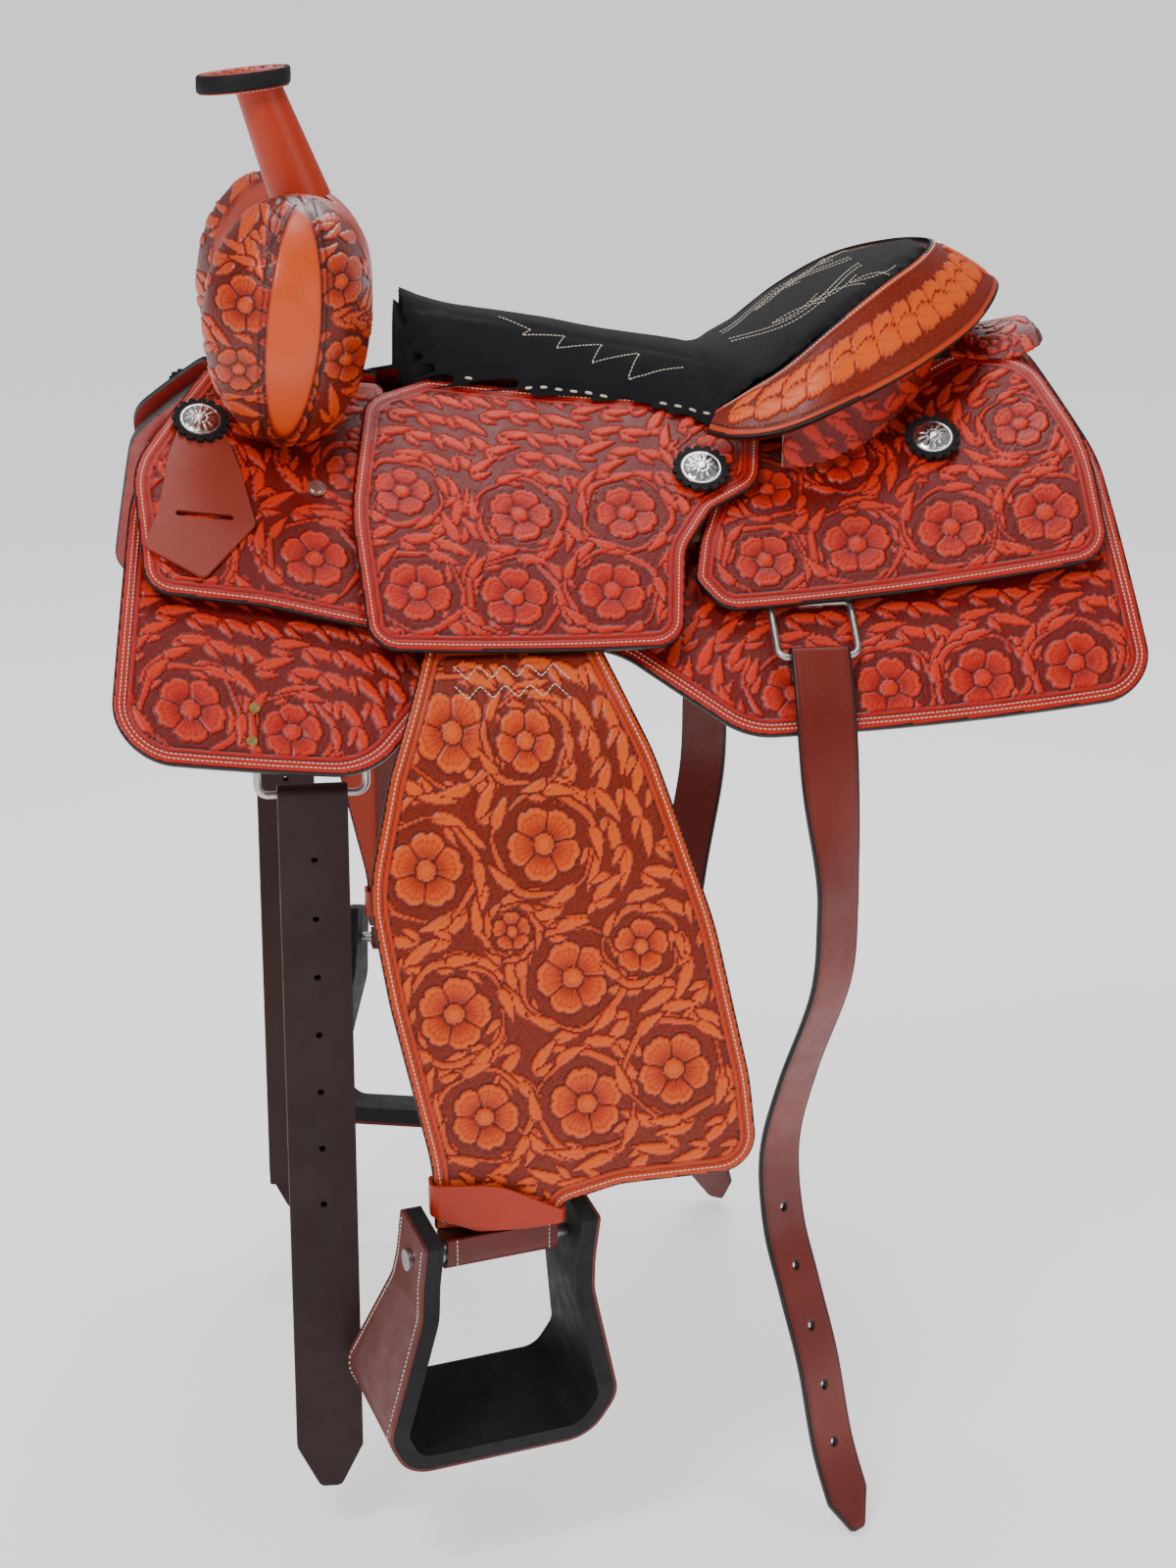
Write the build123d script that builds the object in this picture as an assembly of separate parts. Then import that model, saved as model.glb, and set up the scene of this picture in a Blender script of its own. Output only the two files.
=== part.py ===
from build123d import *
from math import cos, hypot, radians, sin
import os

# Western saddle. The horse faces -X, its near (left) side is -Y and +Z is up.
# The origin is on the ridge of the skirts, half way along the saddle.
# All sizes are in millimetres.

# ---- driving dimensions -------------------------------------------------------------------
ROCK_RADIUS = 2200.0          # fore-and-aft curve of the bars
ROCK_ANGLE = 11.5             # half of the arc that the leathers need
SHOULDER = radians(34)        # slope where the ridge curve meets the side curve
SKIRT = {"ridge": 60.0, "side": 1100.0, "top": 0.0}
JOCKEY = {"ridge": 77.0, "side": 960.0, "top": 17.0}
SEAT_JOCKEY = {"ridge": 88.0, "side": 1000.0, "top": 28.0}
PATTERN_TILT = radians(42)    # the plane that the patterns are cut through
LEATHER = 4.0                 # skirting leather
GAP = 0.4                     # air between pieces that lie on each other
FLEECE = 9.0
BAR_THICKNESS = 8.0

CANTLE_TOP = 113.0            # height of the cantle over the ridge
ROLL_THICKNESS = 6.0
WALL_GAP = 7.5                # the cantle's wall clears the jockeys and their connector
SEAT_THICKNESS = 13.0

TONGUE_DEPTH = (11.5, 15.5)   # the fender's tongue, between bar and seat jockey
STACK_Y = -324.5              # middle of the leathers at the fender's neck
NECK_HALF = 46.0
STIRRUP_X = -100.0            # the upright line that the stirrup turns about
BOLT_Z = -566.0
STIRRUP_YAW = 16.0
STIRRUP_TILT = 15.0
STIRRUP_DEPTH = {"top": 50.0, "tread": 92.0}   # fore and aft, at the posts and at the tread
STIRRUP_LAYERS = {"lining": (-3.6, -0.1), "core": (0.0, 9.0), "cover": (9.1, 11.6)}
POST_TOP = 28.0
BOLT_RADIUS = 5.0
ROLLER_RADIUS = 7.4
LOOP_RADIUS = 7.8
LOOP_HALF = 43.0
LOOP_TOP = 13.4
STRAP = 3.5                   # stirrup leather

RING_WIRE = 2.8
CLIP = (3.1, 4.0)             # inner and outer radius of the clips round the ring bars
RING_CORNER = 8.0
FRONT_RING = {"x": -222.0, "y": -247.4, "z": -204.0, "half": 39.0, "drop": 38.0}
REAR_DEE = {"x": 150.0, "half": 30.0, "bar": (236.0, 4.8), "bottom": (284.0, 10.5)}
FOLD = (3.4, 7.4)             # inner and outer radius of a strap folded over a ring
FRONT_STRAP_HALF = 25.0
FRONT_STRAP_ENDS = (-795.0, -766.0)
FRONT_STRAP_HOLES = 7
FRONT_STRAP_FIRST = -290.0
FRONT_STRAP_PITCH = 45.0
BILLET_HALF = 22.0
BILLET_YAW = radians(38)
BILLET_BASE = (152.0, -272.0)
BILLET_HOLES = 5
BILLET_FIRST = -590.0
BILLET_PITCH = 45.0
HOLE_RADIUS = 2.5

CONCHOS = [("jockey", -289, 93), ("seat", 79, 147), ("jockey", 260, 124)]
CONCHO_RADIUS = 17.5
ROSETTE_RADIUS = 18.5
SCALLOPS = 16
CONCHO_LIFT = 4.0
SCREW_SPOT = (-207, 146)

# ---- leather patterns: (x, distance down from the ridge, corner radius) ---------------------
SKIRT_PATTERN = [
    (-240, 40, 15), (-288, 30, 12), (-342, 135, 150), (-365, 362, 42), (-180, 362, 60),
    (-100, 262, 60), (0, 258, 60), (92, 338, 60), (396, 348, 36), (388, 140, 200),
    (352, 5, 26), (300, 5, 10), (280, 40, 15)]
FLEECE_PATTERN = [
    (-240, 50, 15), (-280, 45, 12), (-332, 140, 150), (-350, 346, 30), (-282, 346, 12),
    (-276, 284, 12), (-168, 284, 20), (-100, 250, 60), (0, 246, 60), (88, 322, 50), (382, 332, 30),
    (376, 140, 200), (340, 14, 26), (300, 14, 10), (280, 50, 15)]
FRONT_JOCKEY_PATTERN = [
    (-150, 34, 10), (-282, 30, 10), (-341, 140, 80), (-334, 247, 20), (-250, 250, 200),
    (-142, 270, 14), (-142, 120, 20)]
SEAT_JOCKEY_PATTERN = [
    (-118, 46, 10), (-166, 70, 30), (-184, 180, 200), (-177, 297, 22), (50, 296, 24),
    (60, 215, 40), (84, 180, 20), (122, 160, 26), (130, 112, 20), (96, 74, 30)]
CONNECTOR_PATTERN = [(286, -20, 0), (286, 40, 12), (330, 58, 40), (366, 46, 14), (360, -20, 0)]
TONGUE_PATTERN = [(-108, 140, 20), (-135, 264, 0), (-14, 264, 0), (-50, 140, 20)]
KEEPER_PATTERN = [(-303, 92, 8), (-274, 92, 8), (-262, 135, 30), (-253, 184, 6), (-292, 234, 6),
                  (-334, 212, 6), (-322, 178, 20), (-314, 130, 30)]
KEEPER_SLOT = (-290, 180, 42, 5)   # x, distance from the ridge, length, width
REAR_JOCKEY_PATTERN = [
    (112, 96, 15), (74, 190, 25), (66, 226, 12), (84, 254, 24), (376, 252, 26), (377, 150, 200),
    (350, 56, 50), (296, 34, 30), (240, 62, 60)]
BAR_PATTERN = [(-262, 44, 12), (-275, 120, 30), (-230, 186, 30), (-60, 172, 60), (120, 172, 60),
               (290, 196, 40), (305, 90, 40), (285, 44, 12), (20, 62, 200)]

# ---- fork and horn ----------------------------------------------------------------------
# y, centre x, centre z, half length, half height of the fork's side sections
FORK_SECTIONS = [
    (0, -208, 110, 50, 44), (40, -211, 101, 54, 58), (80, -219, 80, 59, 83),
    (115, -226, 72, 60, 88), (142, -228, 75, 50, 68), (158, -229, 78, 34, 44),
    (166, -229, 79, 16, 20)]
HORN_BASE = (-203.0, 0.0, 140.0)
HORN_TOP = (-233.0, 0.0, 224.0)
HORN_NECK_RADIUS = (23.0, 16.5)
HORN_POST_RADIUS = 9.0
HORN_CAP = {"x": -247.0, "z": 236.0, "length": 34.0, "width": 30.0, "tilt": -6.0}

# ---- cantle: stations of the Cheyenne roll from the near tip to the top ----------------------
RIM = [
    ((95, -108, 3), (86, -118, -12)), ((118, -114, 19), (104, -132, -14)),
    ((143, -116, 35), (136, -143, -9)), ((180, -112, 64), (180, -146, 8)),
    ((222, -92, 91), (244, -124, 33)), ((261, -52, 107), (304, -73, 59)),
    ((280, 0, CANTLE_TOP), (336, 0, 80))]

# ---- fender ------------------------------------------------------------------------------
FENDER_LINE = [(-219.6, -148.6), (-238, -168), (-256, -194), (-273, -232), (-287, -280),
               (-300, -340), (-311, -405), (-320, -465), (-326, -520), (-328, -552)]
FENDER_PATTERN = [
    (-135, -140, 0), (-168, -225, 120), (-187, -305, 120), (-174, -385, 200), (-146, -508, 200),
    (-146, -551, 3), (-54, -551, 3), (-54, -536, 10), (-10, -524, 60), (92, -518, 28),
    (86, -450, 200), (62, -335, 300), (22, -215, 200), (-14, -140, 0)]
HOBBLE_PATTERN = [(-154, -514, 0), (-100, -516, 60), (-46, -542, 0), (-46, -547, 0),
                  (-80, -551, 20), (-115, -551, 20), (-154, -536, 0)]
LEATHER_PATTERN = [(-138, -152, 4), (-138, -551, 3), (-62, -551, 3), (-62, -152, 4)]

# ---- rear billet: down the skirt's slope, then its lazy wave (out of plane, z) -----------------
BILLET_SLOPE = [(-233.7, -155.5), (-247.5, -175), (-262.5, -203), (-270, -228), (-273, -246)]
BILLET_WAVE = [(0, -228), (9, -324), (4, -400), (-26, -480), (-42, -541), (-37, -600),
               (-20, -650), (0, -705), (18, -775), (46, -838)]

# ---- stirrup: inner line of its wooden hoop, seen along its depth, and corner radii -----------
STIRRUP_HOOP = [(-57, 60, 0), (57, 60, 0), (57, -36, 60), (80, -128, 20), (66, -156, 20),
                (-66, -156, 20), (-80, -128, 20), (-57, -36, 60)]


# ---- geometry helpers -----------------------------------------------------------------------
def side_point(curve, s, d=0.0):
    """y (near side) and z at distance s down a side curve, d outside it."""
    ridge_length = curve["ridge"] * SHOULDER
    if s < ridge_length:
        angle = s / curve["ridge"]
        y = curve["ridge"] * sin(angle)
        z = curve["top"] - curve["ridge"] * (1 - cos(angle))
    else:
        angle = SHOULDER + (s - ridge_length) / curve["side"]
        y = curve["ridge"] * sin(SHOULDER) + curve["side"] * (sin(angle) - sin(SHOULDER))
        z = curve["top"] - curve["ridge"] * (1 - cos(SHOULDER))
        z -= curve["side"] * (cos(SHOULDER) - cos(angle))
    return -(y + d * sin(angle)), z + d * cos(angle)


def surface_point(curve, x, s, d=0.0):
    """A point on the rocked surface of a leather layer, near side."""
    y, z = side_point(curve, s, d)
    reach = ROCK_RADIUS - z
    return Vector(x, y, ROCK_RADIUS - (reach * reach - x * x) ** 0.5)


def surface_plane(curve, x, s, d=0.0):
    """A plane on the layer: x fore and aft, y up the slope, z out of the leather."""
    here = surface_point(curve, x, s, d)
    up = surface_point(curve, x, s - 1, d) - here
    aft = surface_point(curve, x + 1, s, d) - here
    return Plane(origin=here, x_dir=aft, z_dir=aft.cross(up))


def layer_height(curve, x, y):
    """Height of a layer's outside at x and a distance y from the middle."""
    s = 0.0
    while -side_point(curve, s)[0] < y:
        s += 1.0
    return surface_point(curve, x, s).Z


def arc_edge(curve, s0, s1, d):
    mid = side_point(curve, (s0 + s1) / 2, d)
    ends = [side_point(curve, s, d) for s in (s0, s1)]
    return ThreePointArc((0, *ends[0]), (0, *mid), (0, *ends[1]))


def side_edges(curve, s0, s1, d):
    ridge_length = curve["ridge"] * SHOULDER
    if s0 < ridge_length < s1:
        return [arc_edge(curve, s0, ridge_length, d), arc_edge(curve, ridge_length, s1, d)]
    return [arc_edge(curve, s0, s1, d)]


def layer(curve, s0, s1, d0, d1):
    """The whole near-side layer between two offsets, swung along the rocked bars."""
    closing = []
    for s in (s0, s1):
        closing.append(Line((0, *side_point(curve, s, d0)), (0, *side_point(curve, s, d1))))
    edges = side_edges(curve, s0, s1, d0) + side_edges(curve, s0, s1, d1) + closing
    axis = Axis((0, 0, ROCK_RADIUS), (0, 1, 0))
    section = make_face(edges).rotate(axis, -ROCK_ANGLE)
    return revolve(section, axis=axis, revolution_arc=2 * ROCK_ANGLE)


def rounded_face(points):
    """A face with a straight-sided outline and one corner radius per point: (u, v, radius)."""
    corners = [(u, v) for u, v, _ in points]
    return make_face(FilletPolyline(*corners, radius=[r for _, _, r in points], close=True))


def pattern_prism(curve, pattern, d):
    plane = Plane(origin=(0, 0, 0), x_dir=(1, 0, 0),
                  z_dir=(0, -sin(PATTERN_TILT), cos(PATTERN_TILT)))
    flat = []
    for x, s, radius in pattern:
        local = plane.to_local_coords(surface_point(curve, x, s, d))
        flat.append((local.X, local.Y, radius))
    return extrude(plane * rounded_face(flat), amount=400, both=True)


def leather_piece(curve, pattern, d0, d1):
    """A piece of leather cut to a pattern and laid on its layer."""
    lengths = [s for _, s, _ in pattern]
    sheet = layer(curve, max(min(lengths) - 12, 1), max(lengths) + 12, d0, d1)
    return sheet & pattern_prism(curve, pattern, (d0 + d1) / 2)


def path_face(points, low, high):
    """A strip along a 2-D path, between two offsets to the path's left."""
    sides = ([], [])
    last = len(points) - 1
    for i, (u, v) in enumerate(points):
        before, after = points[max(i - 1, 0)], points[min(i + 1, last)]
        du, dv = after[0] - before[0], after[1] - before[1]
        length = hypot(du, dv)
        for side, offset_size in zip(sides, (low, high)):
            side.append((u - dv / length * offset_size, v + du / length * offset_size))
    outer, inner = Spline(*sides[0]), Spline(*sides[1])
    return make_face([outer, inner, Line(outer @ 0, inner @ 0), Line(outer @ 1, inner @ 1)])


def strip_yz(points, low, high, x0, x1):
    """A strap whose side view is a path in the YZ plane."""
    face = Plane.YZ.offset(x0) * path_face(points, low, high)
    return extrude(face, amount=x1 - x0, dir=(1, 0, 0))


def xz_prism(points, y0, y1):
    """A prism along Y from an outline in x, z with corner radii."""
    plane = Plane(origin=(0, 0, 0), x_dir=(1, 0, 0), z_dir=(0, -1, 0))
    return extrude(plane.offset(-y1) * rounded_face(points), amount=y1 - y0, dir=(0, -1, 0))


def off_side(solid):
    return mirror(solid, about=Plane.XZ)


def pair(name, solid):
    """The near piece and its mirror image on the off side."""
    return {name + "_near": solid, name + "_off": off_side(solid)}


# ---- tree -----------------------------------------------------------------------------------
def fork_loft(shrink):
    """The fork between its two swell tips, smaller all round by shrink."""
    near = []
    for y, x, z, length, height in FORK_SECTIONS:
        size = (max(length - shrink, 2), max(height - shrink, 2))
        near.append((-(y - shrink * (y > 150)), x, z, *size))
    stations = near[::-1] + [(-y, x, z, length, height) for y, x, z, length, height in near[1:]]
    wires = []
    for y, x, z, length, height in stations:
        plane = Plane(origin=(x, y, z), x_dir=(1, 0, 0), z_dir=(0, -1, 0))
        wires.append((plane * Ellipse(length, height)).wire())
    return Solid.make_loft(wires)


def under_fork(d):
    """Everything below a side curve at the fork, on both sides."""
    body = layer(SKIRT, 1, 330, -120, d)
    middle = Pos(-200, 0, 0) * Box(200, 8, 60 + 2 * d)
    return body + off_side(body) + middle


def make_tree():
    bar = leather_piece(SKIRT, BAR_PATTERN, GAP, GAP + BAR_THICKNESS)
    ground = make_ground_seat()
    return {**pair("tree_bar", bar), "ground_seat": ground}


def make_fork():
    """Wooden fork, its leather cover and the steel horn, cut clear of one another."""
    floor = under_fork(JOCKEY["top"] + GAP)
    wood_floor = under_fork(GAP + BAR_THICKNESS + GAP)
    outer = fork_loft(0)
    inner = fork_loft(LEATHER)
    post = horn_cone(HORN_POST_RADIUS, HORN_POST_RADIUS, -30, 84)
    socket = horn_cone(HORN_POST_RADIUS + GAP, HORN_POST_RADIUS + GAP, -30 - GAP, 100)
    wood = fork_loft(LEATHER + GAP) - wood_floor - socket
    cover = outer - inner - floor - horn_cone(*[r + GAP for r in HORN_NECK_RADIUS], -20, 84)
    return {"tree_fork": keep_largest(wood), "fork_cover": keep_largest(cover),
            **make_horn(post)}


def keep_largest(shape):
    return max(shape.solids(), key=lambda solid: solid.volume)


def horn_plane():
    base, top = Vector(*HORN_BASE), Vector(*HORN_TOP)
    return Plane(origin=base, x_dir=(0, 1, 0), z_dir=top - base)


def horn_cone(r0, r1, h0, h1):
    """A cone on the horn's axis; radii at the base plane and at the top."""
    plane = horn_plane()
    lower, upper = plane.offset(h0) * Circle(r0), plane.offset(h1) * Circle(r1)
    return loft([lower, upper])


def cap_plane(height=0.0):
    spot = Location((HORN_CAP["x"], 0, HORN_CAP["z"]), (0, HORN_CAP["tilt"], 0))
    return Plane(spot).offset(height)


def make_horn(post):
    """Steel post with its cap plate, leather neck wrap and two leather cap pieces."""
    plate = extrude(cap_plane() * Ellipse(HORN_CAP["length"] - 4, HORN_CAP["width"] - 4), 4)
    post = horn_cone(HORN_POST_RADIUS, HORN_POST_RADIUS, -30, 130) - above_cap(2) + plate
    top = extrude(cap_plane(4 + GAP) * Ellipse(HORN_CAP["length"], HORN_CAP["width"]), 4.5)
    under = extrude(cap_plane(-GAP) * Ellipse(HORN_CAP["length"], HORN_CAP["width"]), -LEATHER)
    under = under - horn_cone(HORN_POST_RADIUS + GAP, HORN_POST_RADIUS + GAP, -40, 140)
    wrap = horn_cone(*HORN_NECK_RADIUS, 8, 110) - above_cap(-2 * GAP - LEATHER)
    wrap = wrap - horn_cone(HORN_POST_RADIUS + GAP, HORN_POST_RADIUS + GAP, -40, 140)
    wrap = wrap - fork_loft(-GAP)
    return {"horn_core": keep_largest(post), "horn_cap_top": top, "horn_cap_underside": under,
            "horn_neck_wrap": keep_largest(wrap)}


def above_cap(height):
    return extrude(cap_plane(height) * Circle(90), 120)


# ---- seat and cantle --------------------------------------------------------------------
def full_rim():
    """Stations from the near tip over the cantle to the off tip."""
    near = [(Vector(*inner), Vector(*outer)) for inner, outer in RIM]
    off = [(Vector(i.X, -i.Y, i.Z), Vector(o.X, -o.Y, o.Z)) for i, o in near[-2::-1]]
    return near + off


def rim_normals(stations):
    """The outward normal of the roll at each station."""
    normals = []
    last = len(stations) - 1
    for i, (inner, outer) in enumerate(stations):
        along = stations[min(i + 1, last)][0] - stations[max(i - 1, 0)][0]
        normals.append(along.cross(inner - outer).normalized())
    return normals


def rim_solid(corners, skip):
    """A loft along the rim without the first and last stations that skip counts."""
    stations = full_rim()
    wires = []
    for (inner, outer), normal in list(zip(stations, rim_normals(stations)))[skip:len(stations) - skip]:
        wires.append(Wire.make_polygon(corners(inner, outer, normal), close=True))
    return Solid.make_loft(wires)


def roll_corners(inner, outer, normal):
    down = normal * -ROLL_THICKNESS
    return [inner, outer, outer + down, inner + down]


def wall_plan(near, far):
    """Plan outline of the cantle's wall, between two shares of the roll's width."""
    lines = []
    for share in (near, far):
        spots = [inner + (outer - inner) * share for inner, outer in full_rim()[2:-2]]
        lines.append(Spline(*[(spot.X, spot.Y) for spot in spots]))
    first, second = lines
    return make_face([first, second, Line(first @ 0, second @ 0), Line(first @ 1, second @ 1)])


def above_corners(inner, outer, normal):
    """Everything above the roll's underside."""
    under = normal * -(ROLL_THICKNESS + GAP)
    up = Vector(0, 0, 160)
    return [inner + under, outer + under, outer + up, inner + up]


def cantle_wall(near, far):
    wall = extrude(Pos(0, 0, -80) * wall_plan(near, far), amount=200) - rim_solid(above_corners, 0)
    floor = layer(JOCKEY, 1, 330, -120, WALL_GAP)
    middle = Pos(300, 0, 0) * Box(160, 8, 96)
    return keep_largest(wall - floor - off_side(floor) - middle)


SEAT_STATIONS = [
    # x, centre height, half width, height of the edge over the seat jockeys
    (-138, 88, 46, 10), (-110, 77, 53, 6), (-50, 62, 60, 4), (12, 47, 66, 4), (70, 37, 82, 4),
    (94, 33, 99, 7)]
DISH_STATIONS = [
    # x, centre height, half width, height of the edge
    (118, 36, 113, 19), (143, 47, 115, 35), (180, 70, 111, 64), (222, 93, 91, 90),
    (250, 103, 62, 101), (270, 108.5, 33, 107.5)]


def seat_section(x, centre, half, edge, thickness, drop):
    """A cross-section of the seat: dished on top, the same shape below."""
    def height(y):
        share = abs(y) / half
        return centre + (edge - centre) * share ** 2.4 - drop
    steps = [-1, -0.75, -0.45, 0, 0.45, 0.75, 1]
    top = Spline(*[(x, half * k, height(half * k)) for k in steps])
    low = Spline(*[(x, half * k, height(half * k) - thickness) for k in steps])
    return Wire([top, Line(top @ 1, low @ 1), low, Line(low @ 0, top @ 0)])


def seat_solid(thickness, drop, shrink):
    stations = []
    for x, centre, half, over in SEAT_STATIONS:
        stations.append((x, centre, half, layer_height(SEAT_JOCKEY, x, half) + over))
    stations += DISH_STATIONS
    wires = []
    for x, centre, half, edge in stations:
        wires.append(seat_section(x, centre, half - shrink, edge, thickness, drop))
    return Solid.make_loft(wires)


def make_ground_seat():
    ground = seat_solid(3.0, 3 * GAP + SEAT_THICKNESS, 14) - fork_loft(-GAP)
    ground = ground - seat_solid(SEAT_THICKNESS - 4.0, 4.5, 5)
    for curve, top in ((SKIRT, GAP + BAR_THICKNESS + GAP), (SEAT_JOCKEY, GAP), (JOCKEY, GAP)):
        clear = layer(curve, 30, 330, -120, top)
        ground = ground - clear - off_side(clear)
    return keep_largest(ground)


def make_seat():
    roll = rim_solid(roll_corners, 0)
    below = layer(SEAT_JOCKEY, 1, 300, -120, GAP)
    keep_out = [fork_loft(-GAP), below, off_side(below), roll]
    cover = seat_solid(3.0, 0, 1)
    foam = seat_solid(SEAT_THICKNESS - 5.0, 5.0, 6)
    for block in keep_out:
        cover, foam = cover - block, foam - block
    return {"seat_cover": keep_largest(cover), "seat_foam": keep_largest(foam),
            "cheyenne_roll": roll}


def make_cantle():
    return {"tree_cantle": cantle_wall(0.03, 0.17), "cantle_back": cantle_wall(0.19, 0.26)}


# ---- trim ---------------------------------------------------------------------------------
def disc_plane(layer_name, x, s, lift):
    curve = {"jockey": JOCKEY, "seat": SEAT_JOCKEY}[layer_name]
    return surface_plane(curve, x, s, lift)


def make_conchos():
    """Domed silver conchos on scalloped leather rosettes, three a side."""
    conchos, rosettes = [], []
    for layer_name, x, s in CONCHOS:
        plane = disc_plane(layer_name, x, s, CONCHO_LIFT)
        flower = Circle(ROSETTE_RADIUS)
        for spot in PolarLocations(ROSETTE_RADIUS, SCALLOPS):
            flower += spot * Circle(3.0)
        rosettes.append(extrude(plane * flower, amount=2.6))
        dome_radius = 45.0
        height = dome_radius - (dome_radius ** 2 - CONCHO_RADIUS ** 2) ** 0.5
        disc = extrude(plane.offset(2.9) * Circle(CONCHO_RADIUS), amount=1.2 + height)
        ball = plane.offset(2.9 + 1.2 + height - dome_radius).location * Sphere(dome_radius)
        conchos.append(disc & ball)
    return {"conchos": group(conchos), "concho_rosettes": group(rosettes)}


def group(solids):
    """Pieces of one kind on the near side, with their mirror images."""
    near = [solid for shape in solids for solid in shape.solids()]
    return Compound(children=near + [mirror(solid, about=Plane.XZ) for solid in near])


def make_keeper():
    leaf = leather_piece(JOCKEY, KEEPER_PATTERN, GAP, GAP + 3.0)
    x, s, length, width = KEEPER_SLOT
    cutter = surface_plane(JOCKEY, x, s, -1) * SlotOverall(length, width)
    return {"latigo_keepers": group([leaf - extrude(cutter, amount=8)])}


def make_screws():
    plane = surface_plane(JOCKEY, *SCREW_SPOT, GAP)
    button = extrude(plane * Circle(7), amount=1.5) + extrude(plane.offset(1.5) * Circle(4.5), 1.3)
    return {"jockey_screws": group([button])}


def make_connector():
    half = layer(JOCKEY, 0, 70, GAP, GAP + 3) & pattern_prism(JOCKEY, CONNECTOR_PATTERN, 2)
    return {"rear_connector": keep_largest(half + off_side(half))}


# ---- rigging ----------------------------------------------------------------------------------
def ring_plane(x, top, bottom):
    """A ring's plane: its bar at top, hanging towards bottom; both are (y, z)."""
    up = Vector(0, top[0] - bottom[0], top[1] - bottom[1])
    return Plane(origin=(x, *top), x_dir=(1, 0, 0), z_dir=Vector(1, 0, 0).cross(up))


def ring(plane, half, drop):
    """A dee ring of round wire, with its straight bar at the plane's origin."""
    radii = [5, 5, RING_CORNER, RING_CORNER]
    path = FilletPolyline((-half, 0), (half, 0), (half, -drop), (-half, -drop), radius=radii,
                          close=True)
    start = path @ 0
    section = Plane(origin=start, z_dir=path % 0) * Circle(RING_WIRE)
    return plane * sweep(section, path=path)


def clip(x, centre, half):
    """A sheet-metal sleeve round a ring's bar."""
    place = Pos(x, *centre) * Rot(0, 90, 0)
    return place * (Cylinder(CLIP[1], 2 * half) - Cylinder(CLIP[0], 2 * half + 2))


def front_places():
    ring_size = FRONT_RING
    top = (ring_size["y"], ring_size["z"])
    return top, (top[0], top[1] - ring_size["drop"])


def rear_places():
    """The rear dee's bar and bottom wire as (y, z), near side."""
    spots = []
    for s, d in (REAR_DEE["bar"], REAR_DEE["bottom"]):
        point = surface_point(SKIRT, REAR_DEE["x"], s, d)
        spots.append((point.Y, point.Z))
    return spots


def make_rigging():
    """Rings, the plates that hold them and the rivets through the skirts."""
    top, bottom = front_places()
    x = FRONT_RING["x"]
    front_ring = ring(ring_plane(x, top, bottom), FRONT_RING["half"], FRONT_RING["drop"])
    inner_plate = leather_piece(SKIRT, [(x - 24, 292, 6), (x - 20, 342, 0), (x + 20, 342, 0),
                                        (x + 24, 292, 6)], -LEATHER - GAP - 2, -LEATHER - GAP)
    front_plate = inner_plate + clip(x, top, 20) - bar_hole(x, top)
    rear_top, rear_bottom = rear_places()
    drop = hypot(rear_top[0] - rear_bottom[0], rear_top[1] - rear_bottom[1])
    rear_x = REAR_DEE["x"]
    rear_ring = ring(ring_plane(rear_x, rear_top, rear_bottom), REAR_DEE["half"], drop)
    outer_plate = leather_piece(SKIRT, [(rear_x - 20, 192, 6), (rear_x - 9, 237, 0),
                                        (rear_x + 9, 237, 0), (rear_x + 20, 192, 6)], GAP, GAP + 2)
    rear_plate = outer_plate + clip(rear_x, rear_top, 9) - bar_hole(rear_x, rear_top)
    rivets = []
    for rivet_x, s in ((-261, 314), (-264, 340)):
        head = surface_plane(SKIRT, rivet_x, s, GAP) * Circle(4.6)
        rivets.append(extrude(head, amount=1.8, taper=25))
    return {**pair("front_ring", front_ring), **pair("rear_dee", rear_ring),
            "front_rigging_plates": group([keep_largest(front_plate)]),
            "rear_rigging_plates": group([keep_largest(rear_plate)]),
            "rigging_rivets": group(rivets)}


def bar_hole(x, centre):
    return Pos(x, *centre) * Rot(0, 90, 0) * Cylinder(CLIP[0], 120)


def fold(x, centre, half):
    """The turn of a strap over a ring's wire: the upper half of a sleeve."""
    turn = Pos(x, *centre) * Rot(0, 90, 0) * (Cylinder(FOLD[1], 2 * half) - Cylinder(FOLD[0], 2 * half))
    return turn & (Pos(x, centre[0], centre[1] + 20) * Box(2 * half, 60, 40))


def make_front_strap():
    """A doubled strap over the front ring, both leaves punched together."""
    _, wire = front_places()
    x, y = FRONT_RING["x"], wire[0]
    half, (tip, cut) = FRONT_STRAP_HALF, FRONT_STRAP_ENDS
    outer = [(x - half, wire[1], 0), (x + half, wire[1], 0), (x + half, tip + 34, 6),
             (x + 8, tip, 6), (x - 8, tip, 6), (x - half, tip + 34, 6)]
    inner = [(x - half, wire[1], 0), (x + half, wire[1], 0), (x + half, cut, 2), (x - half, cut, 2)]
    strap = fold(x, wire, half) + xz_prism(outer, y - FOLD[1], y - FOLD[0])
    strap += xz_prism(inner, y + FOLD[0], y + FOLD[1])
    for i in range(FRONT_STRAP_HOLES):
        z = FRONT_STRAP_FIRST - i * FRONT_STRAP_PITCH
        strap -= Pos(x, y, z) * Rot(90, 0, 0) * Cylinder(HOLE_RADIUS, 40)
    return pair("front_billet", keep_largest(strap))


def billet_plane():
    """The plane of the billet's wave: local x outward and back, local y up."""
    outward = Vector(sin(BILLET_YAW), -cos(BILLET_YAW), 0)
    return Plane(origin=(*BILLET_BASE, 0), x_dir=outward, z_dir=outward.cross(Vector(0, 0, 1)))


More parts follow.
